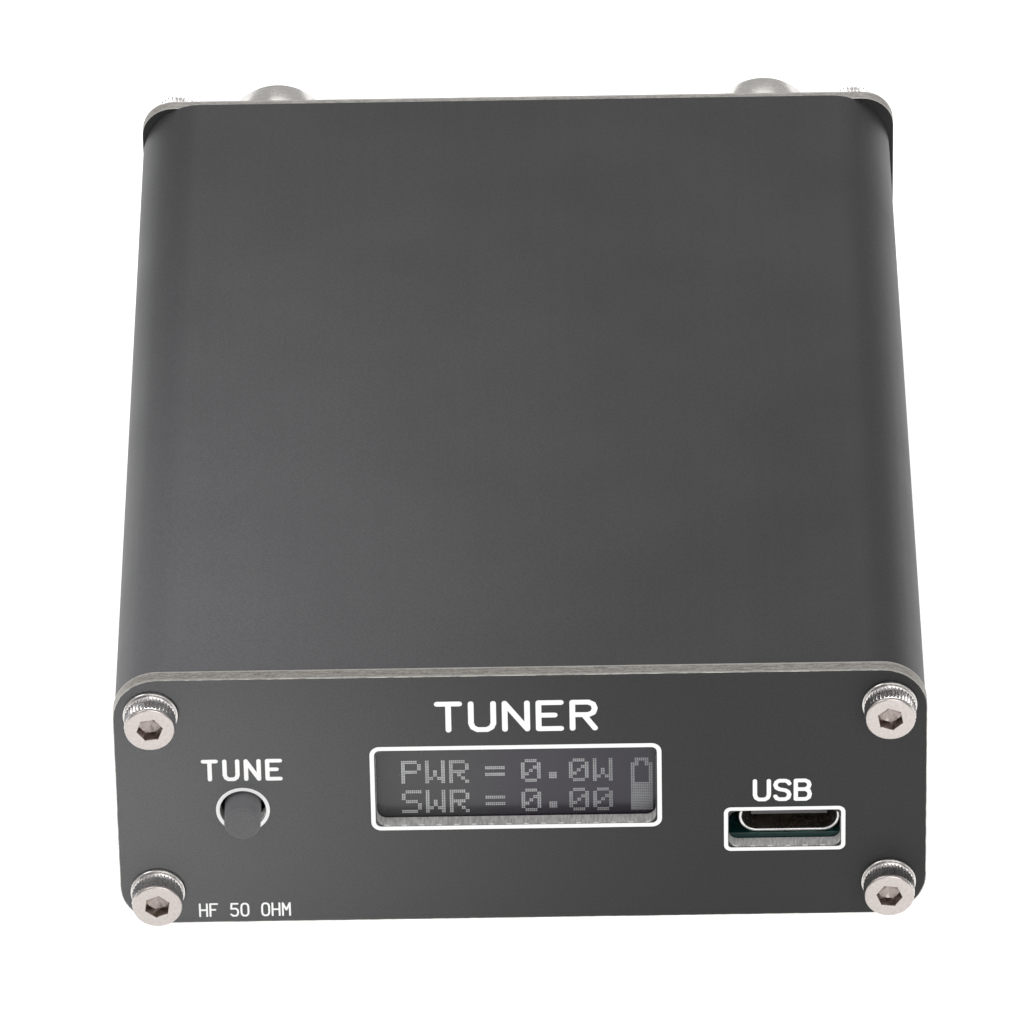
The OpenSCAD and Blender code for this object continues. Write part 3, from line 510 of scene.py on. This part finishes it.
def rings_to_mesh(bm, rings, close_first=False, close_last=False):
    """Joins rings of points, each a list as long as the others, into one surface."""
    made = [[bm.verts.new(p) for p in ring] for ring in rings]
    for a, b in zip(made, made[1:]):
        bridge(bm, a, b)
    if close_first:
        bm.faces.new(made[0])
    if close_last:
        bm.faces.new(reversed(made[-1]))


# ---------------------------------------------------------------- printed legends

panel_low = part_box("front_panel")[0] / MM
button_low, button_high = (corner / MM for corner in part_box("tune_button"))
usb_low, usb_high = (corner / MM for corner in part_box("usb_shell"))
PANEL_Y = panel_low.y
BUTTON_X = (button_low.x + button_high.x) / 2
BUTTON_Z = (button_low.z + button_high.z) / 2
USB_X = (usb_low.x + usb_high.x) / 2
# Ink in millimetres: how far it stands out, how deep it is rooted, and the step between two strokes
INK = 0.02
INK_ROOT = 0.005
INK_STEP = 0.0003

# Strokes of each letter in a square of side 1, as a plotter would draw them
LETTERS = {
    "T": [[(0, 1), (1, 1)], [(0.5, 1), (0.5, 0)]],
    "U": [[(0, 1), (0, 0.24), (0.08, 0.09), (0.28, 0), (0.72, 0), (0.92, 0.09), (1, 0.24), (1, 1)]],
    "N": [[(0, 0), (0, 1), (1, 0), (1, 1)]],
    "E": [[(1, 1), (0, 1), (0, 0), (1, 0)], [(0, 0.52), (0.72, 0.52)]],
    "R": [[(0, 0), (0, 1), (0.72, 1), (0.93, 0.92), (1, 0.76), (0.93, 0.6), (0.72, 0.52), (0, 0.52)],
          [(0.5, 0.52), (1, 0)]],
    "S": [[(1, 0.84), (0.9, 0.95), (0.72, 1), (0.28, 1), (0.08, 0.92), (0, 0.77), (0.08, 0.62),
           (0.28, 0.54), (0.72, 0.48), (0.92, 0.39), (1, 0.24), (0.92, 0.08), (0.72, 0), (0.28, 0),
           (0.1, 0.05), (0, 0.16)]],
    "B": [[(0, 0.53), (0, 1), (0.68, 1), (0.9, 0.92), (0.97, 0.77), (0.9, 0.62), (0.68, 0.53),
           (0, 0.53), (0, 0), (0.72, 0), (0.93, 0.09), (1, 0.26), (0.93, 0.44), (0.68, 0.53)]],
    "H": [[(0, 0), (0, 1)], [(1, 0), (1, 1)], [(0, 0.5), (1, 0.5)]],
    "F": [[(0, 0), (0, 1), (1, 1)], [(0, 0.52), (0.72, 0.52)]],
    "M": [[(0, 0), (0, 1), (0.5, 0.45), (1, 1), (1, 0)]],
    "O": [[(0.3, 0), (0.7, 0), (0.92, 0.1), (1, 0.28), (1, 0.72), (0.92, 0.9), (0.7, 1), (0.3, 1),
           (0.08, 0.9), (0, 0.72), (0, 0.28), (0.08, 0.1), (0.3, 0)]],
    "5": [[(0.95, 1), (0.08, 1), (0.03, 0.58), (0.7, 0.6), (0.92, 0.5), (1, 0.31), (0.92, 0.1),
           (0.7, 0), (0.28, 0), (0, 0.12)]],
    " ": [],
}
LETTERS["0"] = LETTERS["O"]


def print_word(name, word, centre_x, base_z, width, height, pitch, stroke):
    """Ink strokes on the front panel: sizes are those of the strokes' centre lines."""
    bm = bmesh.new()
    left = centre_x - ((len(word) - 1) * pitch + width) / 2
    layer = 0
    for index, letter in enumerate(word):
        for line in LETTERS[letter]:
            points = [(left + index * pitch + x * width, base_z + z * height) for x, z in line]
            for (x0, z0), (x1, z1) in zip(points, points[1:]):
                # each stroke lies a little over the one before, so that no two faces share a plane
                outline = capsule(x0, z0, x1, z1, stroke / 2)
                plate(bm, outline, PANEL_Y - INK - INK_STEP * layer, PANEL_Y + INK_ROOT)
                layer += 1
    piece(name, bm, "panel_black", look=ink)


def print_line_frame(name, outer, inner):
    """A printed line between two outlines."""
    bm = bmesh.new()
    frame_plate(bm, outer, inner, PANEL_Y - INK, PANEL_Y + INK_ROOT)
    piece(name, bm, "panel_black", look=ink)


ink = moulded("legend_ink", (0.86, 0.86, 0.85), 0.55, size=0.2, shade=0.93).material

print_word("legend_title", "TUNER", centre_x=-0.36, base_z=panel_low.z + 20.3,
           width=1.95, height=2.75, pitch=2.95, stroke=0.5)
print_word("legend_tune", "TUNE", centre_x=BUTTON_X + 0.02, base_z=panel_low.z + 15.4,
           width=1.12, height=1.92, pitch=1.87, stroke=0.38)
print_word("legend_usb", "USB", centre_x=USB_X - 0.65, base_z=panel_low.z + 12.4,
           width=1.22, height=1.98, pitch=1.79, stroke=0.38)
print_word("legend_small", "HF 50 OHM", centre_x=-24.6, base_z=panel_low.z + 0.68,
           width=0.62, height=1.3, pitch=0.915, stroke=0.17)
print_line_frame("legend_window_line",
                 outer=rounded(-13.22, 12.29, 9.83, 18.74, radius=0.88),
                 inner=rounded(-12.83, 11.89, 10.23, 18.33, radius=0.5))
print_line_frame("legend_usb_line",
                 outer=rounded(17.72, 28.38, 7.07, 11.74, radius=0.62),
                 inner=rounded(18.08, 28.01, 7.43, 11.38, radius=0.3))
RING_Z = BUTTON_Z - 0.04
print_line_frame("legend_button_ring",
                 outer=circle(BUTTON_X, RING_Z, radius=2.36),
                 inner=circle(BUTTON_X, RING_Z, radius=2.035))


# Pale lines round the panels' outer faces, partly bare epoxy and partly painted highlight, in millimetres
RIM_LINE_WIDTH = 0.06
RIM_LINE_STANDS = 0.004
RIM_LINE_ROOT = 0.01


def rim_and_highlight_look():
    """Bare epoxy where the mask stops short of the cut edge, unevenly, with painted highlight along the
    edge.
    """
    look = Look("rim_and_highlight", (0.4, 0.38, 0.35), 0.5)
    uneven = look.noise(1.3, 3.0, 0.7)
    # painted highlight: the pale line is partly bare epoxy and partly painted light on the panel's edge
    look.color(look.mix(look.ramp(uneven, 0.4, 0.6), (0.24, 0.23, 0.215), (0.60, 0.58, 0.53)))
    look.rough(look.ramp(look.noise(0.4), 0.3, 0.7, 0.4, 0.6))
    return look.material


def print_rim_and_highlight(name, node, outward, radius):
    """A pale line round a panel's outer face where its mask ends, partly painted highlight: outward is -1
    or 1 along Y.
    """
    low, high = (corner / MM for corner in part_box(node))
    face = low.y if outward < 0 else high.y
    outer = rounded(low.x, high.x, low.z, high.z, radius)
    inner = rounded(low.x + RIM_LINE_WIDTH, high.x - RIM_LINE_WIDTH, low.z + RIM_LINE_WIDTH, high.z - RIM_LINE_WIDTH,
                    radius - RIM_LINE_WIDTH)
    bm = bmesh.new()
    frame_plate(bm, outer, inner, face + outward * RIM_LINE_STANDS, face - outward * RIM_LINE_ROOT)
    piece(name, bm, "panel_black", look=rim_and_highlight_material)


rim_and_highlight_material = rim_and_highlight_look()
print_rim_and_highlight("front_panel_rim_and_highlight", "front_panel", outward=-1, radius=4)
print_rim_and_highlight("rear_panel_rim_and_highlight", "rear_panel", outward=1, radius=3)

# ---------------------------------------------------------------- display

glass_y = (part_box("display_glass")[0] / MM).y
# Dots in millimetres: pitch, lit size, how far they stand out, how deep they are rooted
DOT = 0.175
DOT_LIT = 0.132
DOT_STANDS = 0.004
DOT_ROOT = 0.002
# The display's dots across and down, and its top left corner in millimetres
COLUMNS = 128
ROWS = 32
AREA_LEFT = -10.88
AREA_TOP = 16.22
DOT_MATRIX = {
    "P": "####. #...# #...# ####. #.... #.... #....",
    "W": "#...# #...# #...# #.#.# #.#.# ##.## #...#",
    "R": "####. #...# #...# ####. #.#.. #..#. #...#",
    "S": ".#### #.... #.... .###. ....# ....# ####.",
    "0": ".###. #...# #..## #.#.# ##..# #...# .###.",
    "=": "..... ..... ##### ..... ##### ..... .....",
    ".": "..... ..... ..... ..... .##.. .##.. .....",
}
# Text, first column and first row of each reading, and the columns from one letter to the next
READINGS = [("PWR", 2, 0), ("=", 44, 0), ("0.0W", 62, 0), ("SWR", 2, 18), ("=", 44, 18), ("0.00", 62, 18)]
CELL = 12
# Columns of the battery sign, rows of its terminal's top, and where its body and its filling start
BATTERY_WIDTH = 11
TERMINAL_ROWS = 2
BODY_ROW = 5
FILLED_ROW = 15


def text_dots():
    """Columns and rows of the readings' lit dots: a letter's dot is two by two of the display's."""
    for text, column, row in READINGS:
        for index, letter in enumerate(text):
            for down, line in enumerate(DOT_MATRIX[letter].split()):
                for right, mark in enumerate(line):
                    if mark == "#":
                        for dx in range(2):
                            for dy in range(2):
                                yield column + CELL * index + 2 * right + dx, row + 2 * down + dy


def battery_dots():
    """A battery with its terminal on top, drawn two dots thick and filled to just over half."""
    for row in range(ROWS):
        for column in range(BATTERY_WIDTH):
            side = min(column, BATTERY_WIDTH - 1 - column)
            if row < TERMINAL_ROWS:
                lit = side >= 2
            elif row < BODY_ROW:
                lit = side in (2, 3) or (row > TERMINAL_ROWS and side < 2)
            else:
                lit = side < 2 or row >= FILLED_ROW
            if lit:
                yield COLUMNS - BATTERY_WIDTH + column, row


def make_dots(name, dots, look):
    """A square plate on the glass for each lit dot."""
    bm = bmesh.new()
    gap = (DOT - DOT_LIT) / 2
    for column, row in sorted(set(dots)):
        x = AREA_LEFT + column * DOT + gap
        z = AREA_TOP - (row + 1) * DOT + gap
        outline = [(x, z), (x + DOT_LIT, z), (x + DOT_LIT, z + DOT_LIT), (x, z + DOT_LIT)]
        plate(bm, outline, glass_y - DOT_STANDS, glass_y + DOT_ROOT)
    piece(name, bm, "display_glass", look=look)


def lit_dots_look():
    """Grey dots with painted light: paler at the display's left end."""
    look = Look("display_dots", (0.3, 0.3, 0.3), 0.2)
    uneven = look.ramp(look.noise(2.4, 2.0), 0.3, 0.7)
    # painted light: the dots are painted paler towards the display's left end
    near = look.mix(uneven, (0.33, 0.33, 0.335), (0.49, 0.495, 0.50))
    far = look.mix(uneven, (0.17, 0.17, 0.175), (0.24, 0.245, 0.25))
    look.color(look.mix(look.ramp(look.axis("X"), -0.006, 0.011), near, far))
    look.rough(look.ramp(look.noise(0.3), 0.3, 0.7, 0.15, 0.25))
    return look.material


dots_look = lit_dots_look()
make_dots("display_readings", text_dots(), dots_look)
make_dots("display_battery", battery_dots(), dots_look)

# ---------------------------------------------------------------- screws

# Radii and lengths of a screw and its washer, in millimetres
HEAD_R = 2.25
HEAD_H = 2.1
HEAD_ROUND = 0.24
THREAD_R = 1.25
THREAD_L = 10.0
KEY = 2.0
KEY_DEPTH = 1.2
WASHER_R = 2.4
WASHER_T = 0.4
WASHER_BORE = THREAD_R + 0.15
WASHER_GAP = 0.35
WASHER_RISE = 0.05
TEETH = 40
TOOTH_DEPTH = 0.16
AROUND = TEETH * 4
# The washer's distance from the panel, and what the head's adds to the washer's thickness
WASHER_STANDS = 0.015
HEAD_STANDS = 0.03


def ring(radius, z):
    """Points of one ring; radius is a number or a function of the angle."""
    points = []
    for i in range(AROUND):
        a = math.tau * i / AROUND
        r = radius(a) if callable(radius) else radius
        points.append((r * math.cos(a) * MM, r * math.sin(a) * MM, z * MM))
    return points


def knurled(a):
    """Radius of the head's teeth at an angle."""
    phase = (a * TEETH / math.tau) % 1
    return HEAD_R - TOOTH_DEPTH * abs(2 * phase - 1)


def hexagon(a):
    """Radius of the key socket at an angle."""
    return KEY / 2 / math.cos((a % (math.pi / 3)) - math.pi / 6)


def make_screw(name, at):
    """Socket head cap screw: z is 0 under the head, and the head points along +Z."""
    bm = bmesh.new()
    corner = KEY / 2 / math.cos(math.pi / 6)
    shoulder = HEAD_H - HEAD_ROUND
    rings = [ring(THREAD_R - 0.3, -THREAD_L), ring(THREAD_R, 0.3 - THREAD_L), ring(THREAD_R, 0),
             ring(HEAD_R - 0.14, 0), ring(HEAD_R - 0.03, 0.06), ring(HEAD_R - 0.03, 0.2),
             ring(HEAD_R - TOOTH_DEPTH, 0.26), ring(knurled, 0.32),
             ring(knurled, shoulder - 0.2), ring(HEAD_R - 0.06, shoulder - 0.03)]
    for i in range(5):
        a = math.radians(90 * i / 4)
        rings.append(ring(HEAD_R - 0.06 - HEAD_ROUND + HEAD_ROUND * math.cos(a),
                          shoulder + HEAD_ROUND * math.sin(a)))
    rings += [ring(corner + 0.03, HEAD_H),
              ring(hexagon, HEAD_H - 0.05),
              ring(hexagon, HEAD_H - KEY_DEPTH),
              ring(KEY / 2 - 0.02, HEAD_H - KEY_DEPTH - 0.01),
              ring(0.06, HEAD_H - KEY_DEPTH - KEY / 4)]
    rings_to_mesh(bm, rings, close_first=True, close_last=True)
    return piece(name, bm, "screw_steel", smooth=32, at=at, look=screw_look)


def make_spring_washer(name, at):
    """Split lock washer, nearly flattened: its two ends stand a little apart along the screw."""
    bm = bmesh.new()
    steps = 96
    gap = WASHER_GAP / WASHER_R
    bevel = 0.05
    top = WASHER_T - WASHER_RISE
    section = [(WASHER_BORE, bevel), (WASHER_BORE + bevel, 0), (WASHER_R - bevel, 0), (WASHER_R, bevel),
               (WASHER_R, top - bevel), (WASHER_R - bevel, top),
               (WASHER_BORE + bevel, top), (WASHER_BORE, top - bevel)]
    loops = []
    for i in range(steps + 1):
        share = i / steps
        a = math.pi + gap / 2 + (math.tau - gap) * share
        lift = WASHER_RISE * share
        loops.append([bm.verts.new((r * math.cos(a) * MM, r * math.sin(a) * MM, (z + lift) * MM))
                      for r, z in section])
    for a, b in zip(loops, loops[1:]):
        bridge(bm, a, b)
    bm.faces.new(loops[0])
    bm.faces.new(reversed(loops[-1]))
    return piece(name, bm, "spring_steel", smooth=32, at=at)


# Where the looks of a screw change, and the pitch of its turning marks, in millimetres
SOCKET_R = 1.17
KNURL_R = 1.9
LATHE_PITCH = 0.07


def screw_steel_look():
    """Turned end face, knurled sides painted bright as glints, and a key socket painted darker and browner
    as shade.
    """
    look = Look("screw_turned", (0.62, 0.565, 0.53), 0.26, 1.0)
    x, y, z = (look.axis(name) for name in "XYZ")
    radius = look.math("SQRT", look.math("ADD", look.math("POWER", x, 2.0), look.math("POWER", y, 2.0)))
    fine = look.noise(0.3, 3.0, 0.6)
    steel = look.mix(look.ramp(fine, 0.3, 0.7), (0.475, 0.432, 0.41), (0.545, 0.502, 0.48))
    # painted shade: inside the key socket, below the end face, the steel is painted darker and browner
    within = look.math("LESS_THAN", radius, SOCKET_R * MM)
    below = look.math("LESS_THAN", z, (HEAD_H - 0.04) * MM)
    socket = look.mix(look.ramp(look.noise(0.4), 0.3, 0.7), (0.30, 0.255, 0.235), (0.40, 0.345, 0.32))
    # painted highlight: the knurled sides are painted much brighter than the turned end, as glints, with
    # duller flecks
    glint = look.mix(look.ramp(look.noise(0.16, 2.0), 0.4, 0.55), (0.58, 0.56, 0.55), (0.93, 0.91, 0.90))
    painted_glint_zone = look.math("MULTIPLY", look.math("GREATER_THAN", radius, KNURL_R * MM),
                       look.math("LESS_THAN", z, (HEAD_H - 0.2) * MM))
    body = look.mix(painted_glint_zone, steel, glint)
    look.color(look.mix(look.math("MULTIPLY", within, below), body, socket))
    look.rough(look.ramp(look.noise(1.6, 2.0), 0.3, 0.7, 0.22, 0.31))
    lathe = look.math("SINE", look.math("MULTIPLY", radius, math.tau / (LATHE_PITCH * MM)))
    look.bump(lathe, 0.0012, 0.5)
    look.bump(fine, 0.003, 0.5)
    return look.material


screw_look = screw_steel_look()


def screw_places(node, panel, outward):
    """Places of the four screws of a panel, found from its washers, with +Z turned outward."""
    low, high = (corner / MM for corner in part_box(node))
    face = (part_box(panel)[0] if outward < 0 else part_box(panel)[1]).y / MM
    turn = Matrix.Rotation(math.radians(90 if outward < 0 else -90), 4, "X")
    # degrees that the key sockets are turned by, so that no two of them stand alike
    start, across, up = (22, 31, 47) if outward < 0 else (10, 25, 38)
    for i, x in enumerate((low.x + WASHER_R, high.x - WASHER_R)):
        for k, z in enumerate((low.z + WASHER_R, high.z - WASHER_R)):
            spin = Matrix.Rotation(math.radians(start + across * i + up * k), 4, "Z")
            yield f"{i + 2 * k + 1}", Matrix.Translation(Vector((x, face, z)) * MM) @ turn @ spin


bright_pieces = []
for side, panel, outward in (("front", "front_panel", -1), ("rear", "rear_panel", 1)):
    for number, at in screw_places(f"{side}_spring_washers", panel, outward):
        head = Matrix.Translation((0, 0, (WASHER_T + HEAD_STANDS) * MM))
        seat = Matrix.Translation((0, 0, WASHER_STANDS * MM))
        screw = make_screw(f"{side}_screw_{number}", at @ head)
        washer = make_spring_washer(f"{side}_spring_washer_{number}", at @ seat)
        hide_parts(f"{side}_screws")
        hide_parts(f"{side}_spring_washers")
        bright_pieces += [screw, washer]

# ---------------------------------------------------------------- RF jacks

# Points round a jack, rings in one turn of its thread, and points round a stud
JACK_AROUND = 96
THREAD_RINGS = 9
STUD_AROUND = 32
# Radii and lengths of a jack in millimetres; those ending in OUT count from the rear panel's face
JACK_R = 6.3
THREAD_PITCH = 0.907
THREAD_DEPTH = 0.36
THREAD_OUT = 5.5
SHOULDER_R = 7.2
SHOULDER_L = 2.0
NECK_R = 5.0
GROOVE_R = 4.86
BARREL_R = 4.8
MOUTH_R = 4.06
BORE_R = 3.5
BORE_OUT = 5.0
STUD_IN = 5.0
# Distance from the jack's axis and radius along a bayonet stud
STUD_PROFILE = [(4.2, 1.0), (5.38, 1.0), (5.46, 0.95), (5.5, 0.86)]


def jack_ring(x, z, y, radius):
    """One ring of a jack about an axis along Y; radius may depend on the angle and on y."""
    points = []
    for i in range(JACK_AROUND):
        a = math.tau * i / JACK_AROUND
        r = radius(a, y) if callable(radius) else radius
        points.append(((x + r * math.cos(a)) * MM, y * MM, (z + r * math.sin(a)) * MM))
    return points


def screw_thread(start, end):
    """Radius along a thread that fades in at its start and out at its chamfered end."""
    def radius(a, y):
        phase = (y / THREAD_PITCH - a / math.tau) % 1
        depth = THREAD_DEPTH * max(0.0, abs(2 * phase - 1) * 1.25 - 0.15)
        fade = min(1.0, max(0.0, (end - y) / 0.5), max(0.0, (y - start) / 0.3))
        chamfer = 0.25 * max(0.0, 1 - (end - y) / 0.35)
        return JACK_R - min(depth, THREAD_DEPTH) * fade - chamfer
    return radius


def make_jack(side):
    """Turned jack body: shoulder, mounting thread, neck, groove, barrel, mouth and its two studs."""
    low, high = (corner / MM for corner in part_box(f"{side}_jack_body"))
    panel_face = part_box("rear_panel")[1].y / MM
    x, z = (low.x + high.x) / 2, (low.z + high.z) / 2
    mouth = high.y
    shoulder = low.y + SHOULDER_L
    thread_end = panel_face + THREAD_OUT
    bm = bmesh.new()
    flange = [(BORE_R, low.y), (SHOULDER_R - 0.15, low.y), (SHOULDER_R, low.y + 0.15),
              (SHOULDER_R, shoulder - 0.15), (SHOULDER_R - 0.15, shoulder), (JACK_R - 0.2, shoulder + 0.02)]
    rings = [jack_ring(x, z, y, r) for r, y in flange]
    thread = screw_thread(shoulder + 0.4, thread_end)
    steps = int((thread_end - shoulder) / THREAD_PITCH * THREAD_RINGS)
    for i in range(1, steps + 1):
        y = shoulder + 0.05 + (thread_end - shoulder - 0.05) * i / steps
        rings.append(jack_ring(x, z, y, thread))
    barrel = [(NECK_R, thread_end + 0.03), (NECK_R, thread_end + 0.9),
              (GROOVE_R, thread_end + 1.0), (GROOVE_R, thread_end + 1.5),
              (NECK_R, thread_end + 1.6), (NECK_R, mouth - 4.05), (NECK_R - 0.05, mouth - 3.98),
              (BARREL_R, mouth - 3.9), (BARREL_R, mouth - 0.32), (BARREL_R - 0.08, mouth - 0.12),
              (4.56, mouth), (4.22, mouth), (4.1, mouth - 0.05),
              (MOUTH_R, mouth - 0.16), (MOUTH_R, panel_face + BORE_OUT),
              (BORE_R, panel_face + BORE_OUT - 0.01), (BORE_R, low.y)]
    rings += [jack_ring(x, z, y, r) for r, y in barrel]
    rings_to_mesh(bm, rings)
    bmesh.ops.remove_doubles(bm, verts=bm.verts, dist=1e-7)
    for direction in (-1, 1):
        add_stud(bm, x, mouth - STUD_IN, z, direction)
    body = piece(f"{side}_jack", bm, "jack_nickel", smooth=34)
    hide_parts(f"{side}_jack_body")


def add_stud(bm, x, y, z, direction):
    """Bayonet stud with a rounded tip, standing out sideways."""
    angles = [math.tau * i / STUD_AROUND for i in range(STUD_AROUND)]
    loops = []
    for out, r in STUD_PROFILE:
        loops.append([bm.verts.new(((x + direction * out) * MM, (y + r * math.cos(a)) * MM,
                                    (z + r * math.sin(a)) * MM)) for a in angles])
    for a, b in zip(loops, loops[1:]):
        bridge(bm, a, b)
    bm.faces.new(loops[-1])
    bm.faces.new(reversed(loops[0]))


make_jack("input")
make_jack("output")

# ---------------------------------------------------------------- CAD nodes' edges

soften("case_tube", 0.18)
soften("usb_shell", 0.09, 3)
soften("usb_tongue", 0.08)
soften("jack_nuts", 0.12)
soften("jack_lock_washers", 0.06)
soften("control_jack_bushing", 0.1)
soften("tune_button", 0.05)
soften("display_glass", 0.06)
soften("main_board", 0.05)

# ---------------------------------------------------------------- stage

# The floor's side and how far it lies below the object, in metres, and what floor and world give off
FLOOR_SIDE = 12.0
FLOOR_BELOW = 0.00002
FLOOR_GLOW = 0.75
WORLD_GLOW = 0.5


def make_floor():
    """A pale, evenly glowing sheet under the object."""
    bm = bmesh.new()
    half = FLOOR_SIDE / 2
    signs = ((-1, -1), (1, -1), (1, 1), (-1, 1))
    bm.faces.new([bm.verts.new((x * half, y * half, -FLOOR_BELOW)) for x, y in signs])
    mesh = bpy.data.meshes.new("floor")
    bm.to_mesh(mesh)
    bm.free()
    look = moulded("pale_floor", (0.86, 0.86, 0.86), 0.7, size=2.0, shade=0.985, depth=0.01,
                   Emission_Color=(1, 1, 1, 1), Emission_Strength=FLOOR_GLOW)
    mesh.materials.append(look.material)
    floor = bpy.data.objects.new("floor", mesh)
    bpy.context.scene.collection.objects.link(floor)


def shine_only_on(light, receivers):
    """Links a light to some objects, so that it leaves all the others alone."""
    lit = bpy.data.collections.new(light.name)
    for receiver in receivers:
        lit.objects.link(receiver)
    light.light_linking.receiver_collection = lit


def soft_light(name, at, size, power):
    """A square soft box that faces the object."""
    data = bpy.data.lights.new(name, "AREA")
    data.shape = "SQUARE"
    data.size = size
    data.energy = power
    light = bpy.data.objects.new(name, data)
    light.location = at
    light.rotation_mode = "QUATERNION"
    light.rotation_quaternion = (-Vector(at)).to_track_quat("-Z", "Y")
    light.visible_camera = False
    bpy.context.scene.collection.objects.link(light)
    return light


def make_world():
    world = bpy.data.worlds.new("studio")
    bpy.context.scene.world = world
    world.use_nodes = True
    background = world.node_tree.nodes["Background"]
    background.inputs["Color"].default_value = (1, 1, 1, 1)
    background.inputs["Strength"].default_value = WORLD_GLOW


def wash_light(name, at, aim, spread, power, receivers):
    """A soft-edged beam that lightens dark pieces as a veil of stray light does, without highlights."""
    data = bpy.data.lights.new(name, "SPOT")
    data.spot_size = math.radians(spread)
    data.spot_blend = 1.0
    data.shadow_soft_size = 0.03
    data.energy = power
    light = bpy.data.objects.new(name, data)
    light.location = at
    light.rotation_mode = "QUATERNION"
    light.rotation_quaternion = (Vector(aim) - Vector(at)).to_track_quat("-Z", "Y")
    light.visible_glossy = False
    bpy.context.scene.collection.objects.link(light)
    shine_only_on(light, [nodes[node] for node in receivers])


make_floor()
make_world()
soft_light("key", at=(-0.9, -0.7, 1.3), size=0.9, power=5)
soft_light("fill", at=(0.3, -1.2, 0.6), size=0.9, power=5)
soft_light("back", at=(0.1, 1.3, 1.0), size=0.8, power=2)
# a fourth soft box, from behind, for the screws, their washers and the rear panel alone
glint = soft_light("glint", at=(0.1, 1.2, 1.0), size=1.2, power=11)
shine_only_on(glint, bright_pieces + [nodes["rear_panel"]])
# the two beams are centred just beside the case's left end, so that they fade towards the right
beside = Vector((cad_low.x - 0.007, cad_low.y, 0.002))
low_beside = beside - Vector((0, 0, 0.004))
wash_light("wash_front", at=low_beside + Vector((-0.06, -0.5, 0.0)), aim=low_beside,
           spread=8.9, power=92, receivers=("front_panel",))
wash_light("wash_top", at=beside + Vector((-0.06, -0.42, 0.285)), aim=beside + Vector((0, 0.006, 0.02)),
           spread=9.4, power=60, receivers=("case_tube",))
bpy.context.scene.view_settings.view_transform = "Standard"
